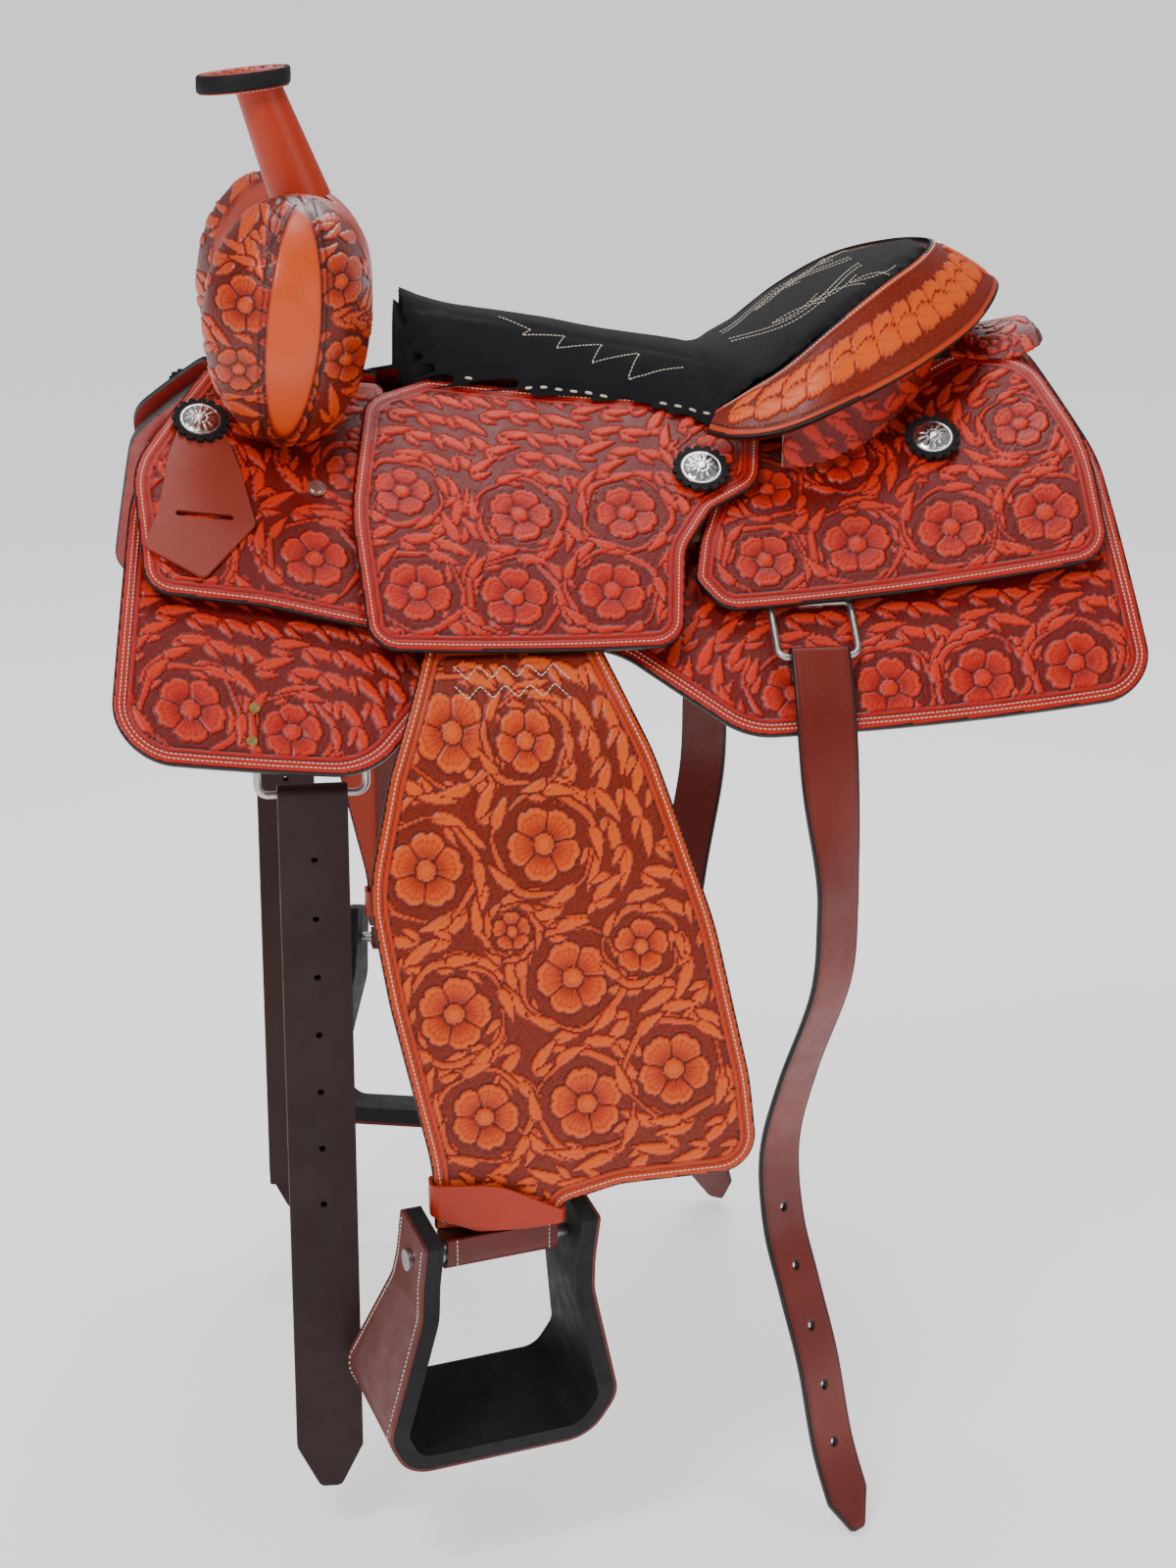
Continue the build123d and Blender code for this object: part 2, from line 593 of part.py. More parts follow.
def make_rear_billet():
    _, wire = rear_places()
    x = REAR_DEE["x"]
    upper = strip_yz(BILLET_SLOPE, -2, 2, x - BILLET_HALF, x + BILLET_HALF)
    turn = fold(x, wire, BILLET_HALF).rotate(Axis((x, *wire), (1, 0, 0)), 44)
    tail = strip_yz([(wire[0] + 4.0, wire[1] - 3.9), (wire[0] - 8.0, wire[1] - 17.0)], -2, 2,
                    x - BILLET_HALF, x + BILLET_HALF)
    plane = billet_plane()
    wave = extrude(plane * path_face(BILLET_WAVE, -2, 2), amount=BILLET_HALF, both=True)
    bottom = BILLET_WAVE[-1][1]
    shape = [(-BILLET_HALF, -200, 0), (BILLET_HALF, -200, 0), (BILLET_HALF, bottom + 30, 8),
             (7, bottom + 3, 5), (-7, bottom + 3, 5), (-BILLET_HALF, bottom + 30, 8)]
    across = Plane(origin=(*BILLET_BASE, 0), x_dir=plane.z_dir, z_dir=-plane.x_dir)
    wave = wave & extrude(across * rounded_face(shape), amount=120, both=True)
    strap = upper + turn + wave + tail
    for i in range(BILLET_HOLES):
        z = BILLET_FIRST - i * BILLET_PITCH
        spot = across.location * Pos(0, z, 0) * Cylinder(HOLE_RADIUS, 200)
        strap -= spot
    return pair("rear_billet", keep_largest(strap))


# ---- fender, stirrup leather and stirrup --------------------------------------------------------
def hanging_sheet(pattern, low, high):
    """A sheet that follows the fender's side view, cut to an outline in x, z."""
    xs = [x for x, _, _ in pattern]
    sheet = strip_yz(FENDER_LINE, low, high, min(xs) - 5, max(xs) + 5)
    return keep_largest(sheet & xz_prism(pattern, -420, -120))


def make_fender():
    tongue = leather_piece(SKIRT, TONGUE_PATTERN, *TONGUE_DEPTH)
    fender = hanging_sheet(FENDER_PATTERN, -2, 2)
    leather = hanging_sheet(LEATHER_PATTERN, 2 + GAP, 2 + GAP + STRAP)
    belt_inner = (NECK_HALF + 1.0, 8.8)
    belt = Plane.XY * Pos(STIRRUP_X, STACK_Y) * (
        RectangleRounded(2 * belt_inner[0] + 5, 2 * belt_inner[1] + 5, 7)
        - RectangleRounded(2 * belt_inner[0], 2 * belt_inner[1], 4.5))
    hobble = Pos(0, 0, -560) * extrude(belt, amount=60) & xz_prism(HOBBLE_PATTERN, -360, -300)
    return {**pair("fender_tongue", tongue), **pair("fender", fender),
            **pair("stirrup_leather", leather), **pair("hobble_strap", hobble)}


def stirrup_place(tilt):
    return Pos(STIRRUP_X, STACK_Y, BOLT_Z) * Rot(0, 0, STIRRUP_YAW) * Rot(tilt, 0, 0)


def make_loop():
    """The bottom turn of the stirrup leather, round the stirrup's roller."""
    outer = LOOP_RADIUS + STRAP
    lower = Pos(0, 0, -20) * Box(2 * LOOP_HALF, 60, 40)
    turn = Rot(0, 90, 0) * (Cylinder(outer, 2 * LOOP_HALF) - Cylinder(LOOP_RADIUS, 2 * LOOP_HALF))
    loop = turn & lower
    for side in (-1, 1):
        leaf_y = side * (LOOP_RADIUS + STRAP / 2)
        loop += Pos(0, leaf_y, LOOP_TOP / 2) * Box(2 * LOOP_HALF, STRAP, LOOP_TOP)
    return stirrup_place(0) * loop


def make_stirrup():
    base = Plane.XZ * rounded_face(STIRRUP_HOOP)
    hole = Rot(0, 90, 0) * Cylinder(BOLT_RADIUS, 200)
    top, tread = STIRRUP_DEPTH["top"] / 2, STIRRUP_DEPTH["tread"] / 2
    outline = [(-top, POST_TOP, 3), (top, POST_TOP, 3), (top, -10, 60), (tread, -120, 60),
               (tread, -180, 2), (-tread, -180, 2), (-tread, -120, 60), (-top, -10, 60)]
    side_view = extrude(Plane.YZ * rounded_face(outline), amount=150, both=True)
    place = stirrup_place(STIRRUP_TILT)
    nodes = {}
    for name, (low, high) in STIRRUP_LAYERS.items():
        outer, inner = offset(base, amount=high), offset(base, amount=low) if low else base
        hoop = extrude(outer - inner, amount=STIRRUP_DEPTH["tread"], both=True)
        nodes.update(pair("stirrup_" + name, place * keep_largest((hoop & side_view) - hole)))
    bolt = Rot(0, 90, 0) * Cylinder(BOLT_RADIUS - 0.1, 2 * (57 + 9 + 4))
    for side in (-1, 1):
        bolt += Pos(side * (57 + 11.8 + 1.5), 0, 0) * Rot(0, 90, 0) * Cylinder(8, 3)
    roller = Rot(0, 90, 0) * (Cylinder(ROLLER_RADIUS, 2 * LOOP_HALF + 4)
                              - Cylinder(BOLT_RADIUS + 0.1, 200))
    bolts = place * Compound(children=[keep_largest(bolt), keep_largest(roller)])
    nodes.update(pair("stirrup_bolt", bolts))
    return nodes


# ---- main ------------------------------------------------------------------------------------
def build():
    nodes = {}
    nodes.update(pair("skirt", leather_piece(SKIRT, SKIRT_PATTERN, -LEATHER, 0)))
    nodes.update(pair("fleece", leather_piece(SKIRT, FLEECE_PATTERN, -LEATHER - GAP - FLEECE,
                                              -LEATHER - GAP)))
    nodes.update(pair("front_jockey", leather_piece(JOCKEY, FRONT_JOCKEY_PATTERN, -LEATHER, 0)))
    nodes.update(pair("seat_jockey", leather_piece(SEAT_JOCKEY, SEAT_JOCKEY_PATTERN, -LEATHER, 0)))
    nodes.update(pair("rear_jockey", leather_piece(JOCKEY, REAR_JOCKEY_PATTERN, -LEATHER, 0)))
    nodes.update(make_tree())
    nodes.update(make_fork())
    nodes.update(make_seat())
    nodes.update(make_cantle())
    nodes.update(make_connector())
    nodes.update(make_conchos())
    nodes.update(make_keeper())
    nodes.update(make_screws())
    nodes.update(make_rigging())
    nodes.update(make_front_strap())
    nodes.update(make_rear_billet())
    nodes.update(make_fender())
    nodes.update(pair("stirrup_loop", make_loop()))
    nodes.update(make_stirrup())
    return nodes


def save(nodes):
    os.makedirs("parts", exist_ok=True)
    for name, shape in nodes.items():
        export_step(shape, "parts/" + name + ".step")


save(build())
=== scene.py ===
import math

import bpy
import numpy as np
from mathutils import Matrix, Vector
from mathutils.bvhtree import BVHTree


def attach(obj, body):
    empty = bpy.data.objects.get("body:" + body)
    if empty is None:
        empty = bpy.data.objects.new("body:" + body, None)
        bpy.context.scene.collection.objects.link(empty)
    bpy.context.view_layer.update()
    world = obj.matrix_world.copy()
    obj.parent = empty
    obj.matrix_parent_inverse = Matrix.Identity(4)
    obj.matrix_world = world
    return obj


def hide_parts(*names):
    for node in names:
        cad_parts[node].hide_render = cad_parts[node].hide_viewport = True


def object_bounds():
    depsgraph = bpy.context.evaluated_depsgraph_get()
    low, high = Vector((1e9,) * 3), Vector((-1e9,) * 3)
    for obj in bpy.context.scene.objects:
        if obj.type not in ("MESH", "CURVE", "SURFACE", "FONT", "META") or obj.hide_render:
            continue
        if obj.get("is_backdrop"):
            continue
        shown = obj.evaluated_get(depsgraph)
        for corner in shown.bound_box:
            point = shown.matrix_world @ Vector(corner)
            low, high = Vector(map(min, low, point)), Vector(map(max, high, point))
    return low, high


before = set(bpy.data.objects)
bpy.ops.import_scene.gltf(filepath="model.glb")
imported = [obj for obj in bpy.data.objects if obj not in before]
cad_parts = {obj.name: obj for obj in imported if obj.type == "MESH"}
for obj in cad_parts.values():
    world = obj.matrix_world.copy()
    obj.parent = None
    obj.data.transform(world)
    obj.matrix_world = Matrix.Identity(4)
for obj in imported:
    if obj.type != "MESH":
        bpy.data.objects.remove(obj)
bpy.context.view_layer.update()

# Western saddle: tooled leather laid over the CAD part.
# Lengths are in millimetres until a mesh is made.
MM = 0.001
STEP = 1.35
SIDES = (("near", 1.0), ("off", -1.0))
SHOULDER = math.radians(34)
ROCK = 2200.0
SKIRT = (60.0, 1100.0, 0.0)
JOCKEY = (77.0, 960.0, 17.0)
SEAT_JOCKEY = (88.0, 1000.0, 28.0)
LEATHER = 4.0
GROUND = -0.7                 # depth of the stippled ground of the tooling
CUT_EDGE = -9.0               # a relief below all carving: the material paints it as a dyed edge
CARVE_RANGE = (-1.6, 0.7)
STITCH = {"pitch": 3.3, "length": 2.5, "radius": 0.5, "bulge": 0.25}


def grids(*values):
    """Numbers and arrays as arrays of one shape."""
    return np.broadcast_arrays(*(np.asarray(value, float) for value in values))


def unit(vectors):
    return vectors / (np.linalg.norm(vectors, axis=-1)[..., None] + 1e-9)


def groove(away, width):
    """One at a line and nothing far from it, for grooves and ribs."""
    return np.exp(-((away / width) ** 2))


def line_run(points):
    """The length run along a line at each of its points."""
    steps = np.linalg.norm(np.diff(points, axis=0), axis=1)
    return np.concatenate([[0], np.cumsum(steps)])


def ring_quads(rows, count):
    """Faces between rings of points, each ring joined to the next."""
    i, k = np.meshgrid(np.arange(rows - 1) * count, np.arange(count), indexing="ij")
    i, k = i.ravel(), k.ravel()
    n = (k + 1) % count
    return np.stack([i + k, i + n, i + count + n, i + count + k], -1)


def closed_sheet(upper, lower):
    """Two grids of points, a face and a back, closed round their rim."""
    n, m = upper.shape[:2]
    index = np.arange(n * m).reshape(n, m)
    quads = np.stack([index[:-1, :-1].ravel(), index[1:, :-1].ravel(),
                      index[1:, 1:].ravel(), index[:-1, 1:].ravel()], -1)
    loop = np.concatenate([index[:-1, 0], index[-1, :-1], index[:0:-1, -1], index[0, :0:-1]])
    after = np.roll(loop, -1)
    wall = np.stack([loop, after, after + n * m, loop + n * m], -1)
    verts = np.concatenate([upper.reshape(-1, 3), lower.reshape(-1, 3)])
    return verts, np.concatenate([quads, quads[:, ::-1] + n * m, wall])


# ---- surfaces of the CAD part, as arrays -------------------------------------------------------
def surface(curve, x, s, d):
    """Points on a leather layer of the near side."""
    ridge, side, top = curve
    x, s, d = grids(x, s, d)
    turn = ridge * SHOULDER
    low = s < turn
    angle = np.where(low, s / ridge, SHOULDER + (s - turn) / side)
    y = np.where(low, ridge * np.sin(angle),
                 ridge * math.sin(SHOULDER) + side * (np.sin(angle) - math.sin(SHOULDER)))
    shoulder = top - ridge * (1 - math.cos(SHOULDER))
    z = np.where(low, top - ridge * (1 - np.cos(angle)),
                 shoulder - side * (math.cos(SHOULDER) - np.cos(angle)))
    y = y + d * np.sin(angle)
    z = z + d * np.cos(angle)
    z = ROCK - np.sqrt(np.maximum((ROCK - z) ** 2 - x * x, 1.0))
    return np.stack([x, -y, z], -1)


def layer_map(curve):
    """A leather layer as place(x, s, d)."""
    return lambda x, s, d: surface(curve, x, s, d)


FENDER_LINE = np.array([(-219.6, -148.6), (-238, -168), (-256, -194), (-273, -232), (-287, -280),
                        (-300, -340), (-311, -405), (-320, -465), (-326, -520), (-328, -552)])


def spline(knots, t):
    """A smooth curve through knots, t counted in knots."""
    knots = np.asarray(knots, float)
    t = np.clip(t, 0, len(knots) - 1 - 1e-6)
    i = t.astype(int)
    f = (t - i)[..., None]
    last = len(knots) - 1
    p0, p1 = knots[np.maximum(i - 1, 0)], knots[i]
    p2, p3 = knots[np.minimum(i + 1, last)], knots[np.minimum(i + 2, last)]
    return 0.5 * (2 * p1 + (p2 - p0) * f + (2 * p0 - 5 * p1 + 4 * p2 - p3) * f ** 2
                  + (3 * p1 - p0 - 3 * p2 + p3) * f ** 3)


def fender_map(x, down, d):
    """The fender's hanging sheet: down is minus z."""
    fine = np.linspace(0, len(FENDER_LINE) - 1, 400)
    line = spline(FENDER_LINE, fine)
    x, down, d = grids(x, down, d)
    y = np.interp(down, -line[:, 1], line[:, 0])
    slope = np.gradient(line[:, 0], -line[:, 1])
    lean = np.interp(down, -line[:, 1], slope)
    size = np.sqrt(1 + lean ** 2)
    return np.stack([x, y - d / size, -down - d * lean / size], -1)


# ---- outlines ----------------------------------------------------------------------------------
def rounded(points, step=1.5):
    """A closed outline with its corners rounded: (u, v, radius) each."""
    out = []
    count = len(points)
    for i, (u, v, r) in enumerate(points):
        here = np.array([u, v], float)
        a = np.array(points[i - 1][:2], float) - here
        b = np.array(points[(i + 1) % count][:2], float) - here
        la, lb = np.linalg.norm(a), np.linalg.norm(b)
        a, b = a / la, b / lb
        half = math.acos(max(-1, min(1, float(a @ b)))) / 2
        if r < 0.5 or half > 1.54:
            out.append(here)
            continue
        cut = min(r / math.tan(half), 0.49 * la, 0.49 * lb)
        r = cut * math.tan(half)
        middle = here + (a + b) / np.linalg.norm(a + b) * (r / math.sin(half))
        start, end = here + a * cut - middle, here + b * cut - middle
        a0, a1 = math.atan2(start[1], start[0]), math.atan2(end[1], end[0])
        turn = (a1 - a0 + math.pi) % (2 * math.pi) - math.pi
        steps = max(2, int(abs(turn) * r / step))
        for k in range(steps + 1):
            angle = a0 + turn * k / steps
            out.append(middle + r * np.array([math.cos(angle), math.sin(angle)]))
    return np.array(out)


def resample(line, step, closed=True):
    """Points a step apart along a line."""
    pts = np.vstack([line, line[:1]]) if closed else np.asarray(line, float)
    run = line_run(pts)
    count = max(2, int(round(run[-1] / step)))
    want = np.linspace(0, run[-1], count, endpoint=not closed)
    return np.stack([np.interp(want, run, pts[:, k]) for k in range(pts.shape[1])], -1)


def nearest(outline, u, v):
    """Signed distance to a closed outline, positive inside, and the nearest point on it."""
    shape = u.shape
    u, v = u.ravel(), v.ravel()
    best = np.full(u.shape, 1e9)
    nu, nv = u.copy(), v.copy()
    inside = np.zeros(u.shape, bool)
    ends = np.roll(outline, -1, axis=0)
    for (ax, ay), (bx, by) in zip(outline, ends):
        dx, dy = bx - ax, by - ay
        size = dx * dx + dy * dy
        if size < 1e-9:
            continue
        t = np.clip(((u - ax) * dx + (v - ay) * dy) / size, 0, 1)
        px, py = ax + t * dx, ay + t * dy
        dist = (u - px) ** 2 + (v - py) ** 2
        closer = dist < best
        best[closer], nu[closer], nv[closer] = dist[closer], px[closer], py[closer]
        if abs(dy) > 1e-9:
            crosses = (ay > v) != (by > v)
            inside ^= crosses & (u < ax + (v - ay) * dx / dy)
    dist = np.sqrt(best)
    return np.where(inside, dist, -dist).reshape(shape), nu.reshape(shape), nv.reshape(shape)


def turning(pts):
    """Above nothing for a closed outline that runs anticlockwise."""
    after = np.roll(pts, -1, axis=0)
    return np.sign(np.sum(pts[:, 0] * after[:, 1] - after[:, 0] * pts[:, 1]))


def inset(outline, amount):
    """The outline moved inward."""
    pts = resample(outline, 3.0)
    along = unit(np.roll(pts, -2, axis=0) - np.roll(pts, 2, axis=0))
    normal = np.stack([-along[:, 1], along[:, 0]], -1)
    moved = pts + normal * amount * turning(pts)
    dist, _, _ = nearest(outline, moved[:, 0], moved[:, 1])
    return moved[dist > amount * 0.93]


# ---- tooling: relief in millimetres over flat leather ------------------------------------------
class Relief:
    """Carved leather: motifs put over a stippled ground, in pattern space."""

    def __init__(self, u, v):
        self.u, self.v = u, v
        self.h = np.full(u.shape, GROUND)
        stipple = np.sin(u * 2.3 + 0.8 * np.sin(v * 1.7)) * np.sin(v * 2.1 + 0.9 * np.sin(u * 1.3))
        self.h += 0.18 * stipple

    def near(self, cu, cv, reach):
        """The grid points in reach of a spot, and their place from it."""
        spot = np.nonzero((abs(self.u - cu) < reach) & (abs(self.v - cv) < reach))
        return spot, self.u[spot] - cu, self.v[spot] - cv

    def put(self, spot, mask, height):
        """Sets the height where the mask says so."""
        h = self.h[spot]
        h[mask] = height[mask]
        self.h[spot] = h

    def ring(self, cu, cv, radius, width=2.6, twist=0.0):
        """A raised vine bent into a scroll."""
        spot, du, dv = self.near(cu, cv, radius + 2 * width + 2)
        r, a = np.hypot(du, dv), np.arctan2(dv, du)
        off = r - radius - 1.6 * np.sin(5 * a + twist)
        half = width * (0.75 + 0.35 * np.sin(2 * a + twist))
        self.put(spot, abs(off) < half + 1.3, np.full(off.shape, GROUND - 0.25))
        rope = 0.45 * np.sqrt(np.clip(1 - (off / half) ** 2, 0, 1)) - 0.05
        rope -= 0.3 * groove(off, 0.45)
        self.put(spot, abs(off) < half, rope)

    def leaf(self, cu, cv, length, width, angle, bend=0.25):
        """A carved leaf that starts at its stalk."""
        spot, du, dv = self.near(cu, cv, length * 1.1)
        ca, sa = math.cos(angle), math.sin(angle)
        along, off = (du * ca + dv * sa) / length, -du * sa + dv * ca
        off = off - bend * length * along * along
        on = (along > 0) & (along < 1)
        t = np.clip(along, 0, 1)
        half = width * np.sin(math.pi * t ** 0.75) ** 0.8 * (1 - 0.16 * abs(np.sin(t * 15.7)))
        self.put(spot, on & (abs(off) < half + 1.1), np.full(off.shape, GROUND - 0.2))
        shape = 0.1 + 0.5 * np.sqrt(np.clip(1 - (off / (half + 0.01)) ** 2, 0, 1))
        shape -= 0.75 * groove(off, 0.6) * (1 - t)
        shape -= 0.22 * (1 + np.sin(t * length * 1.5 - abs(off) * 1.3)) * (abs(off) / (half + 0.1))
        self.put(spot, on & (abs(off) < half), shape)

    def flower(self, cu, cv, radius, turn=0.0):
        """A five-petalled flower with a seeded middle."""
        spot, du, dv = self.near(cu, cv, radius * 1.15)
        r, a = np.hypot(du, dv), np.arctan2(dv, du) - turn
        t = ((a * 5 / (2 * math.pi)) % 1 - 0.5) * 2
        lobe = radius * (0.72 + 0.28 * np.cos(t * math.pi / 2) ** 0.55 - 0.07 * groove(t, 0.13))
        self.put(spot, r < lobe + 1.6, np.full(r.shape, GROUND - 0.35))
        out = np.clip(r / lobe, 0, 1)
        petal = -0.62 + 1.3 * out ** 1.1 - 0.55 * np.clip((out - 0.86) / 0.14, 0, 1) ** 2
        petal -= 1.1 * groove((1 - abs(t)) * r * 0.6, 0.8)
        petal -= 0.6 * (0.5 + 0.5 * np.cos(t * 19)) ** 3 * np.clip(1.2 - out, 0, 1)
        petal -= 0.4 * groove(out - 0.8, 0.035)
        self.put(spot, r < lobe, petal)
        core = 0.27 * radius
        self.put(spot, r < core + 1.2, np.full(r.shape, GROUND - 0.3))
        seeds = 0.25 + 0.4 * np.cos(du * 2.6) * np.cos(dv * 2.6)
        self.put(spot, r < core, np.where(r < 0.13 * radius, 0.55 + 0 * r, seeds))

    def spray(self, flowers, rings=True):
        """Flowers in their scrolls, with leaves thrown out between them."""
        pitch = 23.0
        for row, cv in enumerate(np.arange(self.v.min(), self.v.max(), pitch * 0.87), 1):
            for cu in np.arange(self.u.min() + (row % 2) * pitch / 2, self.u.max(), pitch):
                wob = math.sin(cu * 12.9898 + cv * 78.233) * 43758.5453
                wob -= math.floor(wob)
                gap, fu, fv, fr = min((math.hypot(cu - a, cv - b) - r, a, b, r)
                                      for a, b, r in flowers)
                if gap < 0.28 * fr:
                    continue
                swirl = math.atan2(cv - fv, cu - fu) + 1.15 + 0.4 * wob
                self.leaf(cu, cv, 27 + 7 * wob, 5.2, swirl, 0.45 - 0.3 * wob)
                self.leaf(cu, cv, 15, 3.4, swirl + 1.2, -0.4)
        for n, (cu, cv, radius) in enumerate(flowers):
            if rings:
                self.ring(cu, cv, radius * 1.34, 2.3, n * 1.7)
            for k in range(5):
                a = n * 1.1 + k * 2 * math.pi / 5
                self.leaf(cu + 1.3 * radius * math.cos(a), cv + 1.3 * radius * math.sin(a),
                          0.85 * radius, 0.2 * radius, a + 1.15, 0.5)
            self.flower(cu, cv, radius, n * 0.7 - 0.3)

    def frame(self, dist, margin, lines=(0.0, 4.0)):
        """Plain leather in the margin, with border lines along it."""
        plain = dist < margin
        self.h[plain] = 0.0
        for line in lines:
            self.h -= 0.75 * groove(dist - margin + line, 0.75) * (dist < margin + 1)


# ---- meshes ------------------------------------------------------------------------------------
def mesh_object(name, verts, faces, cut=None, material=None):
    """A smooth-shaded object from points in millimetres, with its relief as an attribute."""
    mesh = bpy.data.meshes.new(name)
    verts = np.asarray(verts, np.float32) * MM
    faces = np.asarray(faces, np.int32)
    corners = faces.shape[1]
    mesh.vertices.add(len(verts))
    mesh.vertices.foreach_set("co", verts.ravel())
    mesh.loops.add(faces.size)
    mesh.loops.foreach_set("vertex_index", faces.ravel())
    mesh.polygons.add(len(faces))
    mesh.polygons.foreach_set("loop_start", np.arange(0, faces.size, corners, dtype=np.int32))
    mesh.update(calc_edges=True)
    mesh.validate()
    mesh.polygons.foreach_set("use_smooth", np.ones(len(mesh.polygons), bool))
    if cut is not None:
        layer = mesh.attributes.new("carve", "FLOAT", "POINT")
        layer.data.foreach_set("value", np.asarray(cut, np.float32))
    obj = bpy.data.objects.new(name, mesh)
    bpy.context.scene.collection.objects.link(obj)
    if material:
        mesh.materials.append(material)
    return obj


def sided(sign, verts, faces):
    """The near side's mesh, or its mirror image for the off side."""
    verts, faces = np.array(verts, float), np.array(faces)
    if sign < 0:
        verts[:, 1] *= -1
        faces = faces[:, ::-1]
    return verts, faces


def cut_sheet(outline, place, thickness, relief, holes=(), vs=None, top=0.0):
    """A grid cut to an outline and laid with place(u, v, d): its face, edge and back."""
    lo, hi = outline.min(0) - 0.01, outline.max(0) + 0.01
    us = np.arange(lo[0] - STEP, hi[0] + STEP, STEP)
    vs = np.arange(lo[1] - STEP, hi[1] + STEP, STEP) if vs is None else vs
    u, v = np.meshgrid(us, vs, indexing="ij")
    cu, cv = (u[1:, 1:] + u[:-1, :-1]) / 2, (v[1:, 1:] + v[:-1, :-1]) / 2
    inner, _, _ = nearest(outline, cu, cv)
    keep = inner > 0
    for hu, hv, hr in holes:
        keep &= np.hypot(cu - hu, cv - hv) > hr
    around = np.zeros(u.shape, int)
    for du in (0, 1):
        for dv in (0, 1):
            around[du:du + keep.shape[0], dv:dv + keep.shape[1]] += keep
    used = around > 0
    rim = used & (around < 4)
    dist, nu, nv = nearest(outline, u, v)
    for hu, hv, hr in holes:
        away = np.hypot(u - hu, v - hv) + 1e-9
        at_hole = rim & (away < hr + 1.5 * STEP) & (dist > 2 * STEP)
        nu = np.where(at_hole, hu + (u - hu) / away * hr, nu)
        nv = np.where(at_hole, hv + (v - hv) / away * hr, nv)
    u, v = np.where(rim, nu, u), np.where(rim, nv, v)
    dist = np.where(rim, 0, dist)
    height = relief(u, v, dist) - 0.9 * np.clip(1 - dist / 1.2, 0, 1) ** 2
    index = np.full(u.shape, -1)
    index[used] = np.arange(used.sum())
    count = int(used.sum())
    face_top = place(u[used], v[used], top + np.clip(height[used], *CARVE_RANGE))
    face_low = place(u[used], v[used], top - thickness + 0 * u[used])
    quads = np.stack([index[:-1, :-1][keep], index[1:, :-1][keep], index[1:, 1:][keep],
                      index[:-1, 1:][keep]], -1)
    edges = np.concatenate([quads[:, [k, (k + 1) % 4]] for k in range(4)])
    code = edges[:, 0] * (count + 1) + edges[:, 1]
    back = edges[:, 1] * (count + 1) + edges[:, 0]
    rim_edges = edges[~np.isin(code, back)]
    first, second = rim_edges.T
    wall = np.stack([second, first, first + count, second + count], -1)
    verts = np.concatenate([face_top, face_low])
    middle = quads[len(quads) // 2]
    a, b, c = face_top[middle[0]], face_top[middle[1]], face_top[middle[3]]
    flip = np.cross(b - a, c - a)[1] > 0
    faces = np.concatenate([quads, quads[:, ::-1] + count, wall])
    if flip:
        faces = faces[:, ::-1]
    cut = np.concatenate([height[used], np.full(count, -0.4)])
    from_edge = np.concatenate([dist[used], dist[used]])
    return verts, faces, np.where(from_edge < 0.9, CUT_EDGE, cut)


def tube_row(starts, ends, ups, radius, bulge=0.0):
    """Short threads, one from each start to each end, each bowed up a little."""
    starts, ends, ups = (np.asarray(p, float) for p in (starts, ends, ups))
    along = unit(ends - starts)
    ups = unit(ups - along * np.sum(ups * along, 1)[:, None])
    across = np.cross(along, ups)
    rings = [(0.0, 0.35), (0.12, 0.9), (0.5, 1.0), (0.88, 0.9), (1.0, 0.35)]
    sides = 6
    count = len(starts)
    verts = np.zeros((count, len(rings), sides, 3))
    for i, (t, size) in enumerate(rings):
        middle = starts + (ends - starts) * t + ups * (bulge * math.sin(math.pi * t))
        for k in range(sides):
            a = 2 * math.pi * k / sides
            verts[:, i, k] = middle + radius * size * (across * math.cos(a) + ups * math.sin(a))
    base = (np.arange(count) * len(rings) * sides)[:, None]
    quads = ring_quads(len(rings), sides).tolist()
    for i in (0, len(rings) - 1):
        quads.append([i * sides, i * sides + 1, i * sides + 2, i * sides + 3])
        quads.append([i * sides, i * sides + 3, i * sides + 4, i * sides + 5])
    quads = (base[:, :, None] + np.array(quads)[None]).reshape(-1, 4)
    return verts.reshape(-1, 3), quads


def stitches(line, place, top, pitch=STITCH["pitch"], closed=True):
    """A row of stitches along a line in pattern space."""
    pts = resample(line, pitch, closed)
    ahead = np.roll(pts, -1, axis=0) if closed else np.vstack([pts[1:], pts[-1:] * 2 - pts[-2:-1]])
    along = ahead - pts
    size = np.linalg.norm(along, axis=1)
    good = (size < pitch * 1.8) & (size > pitch * 0.3)
    pts, along = pts[good], (along / (size[:, None] + 1e-9))[good]
    starts = place(*pts.T, top)
    ends = place(*(pts + along * STITCH["length"]).T, top)
    ups = place(*pts.T, top + 1) - starts
    return tube_row(starts, ends, ups, STITCH["radius"], STITCH["bulge"])


def join(parts):
    """Several meshes in one list of points and faces."""
    verts, faces, total = [], [], 0
    for v, f in parts:
        verts.append(v)
        faces.append(f + total)
        total += len(v)
    return np.concatenate(verts), np.concatenate(faces)


# ---- materials ---------------------------------------------------------------------------------
def new_material(name):
    """A node material, its tree and its shader."""
    mat = bpy.data.materials.new(name)
    mat.use_nodes = True
    tree = mat.node_tree
    return mat, tree, tree.nodes["Principled BSDF"]


def noise(tree, scale, detail=4.0):
    """Cloudy noise in the object's own space."""
    coords = tree.nodes.new("ShaderNodeTexCoord")
    node = tree.nodes.new("ShaderNodeTexNoise")
    node.inputs["Scale"].default_value = scale
    node.inputs["Detail"].default_value = detail
    node.inputs["Roughness"].default_value = 0.55
    tree.links.new(coords.outputs["Object"], node.inputs["Vector"])
    return node.outputs["Fac"]


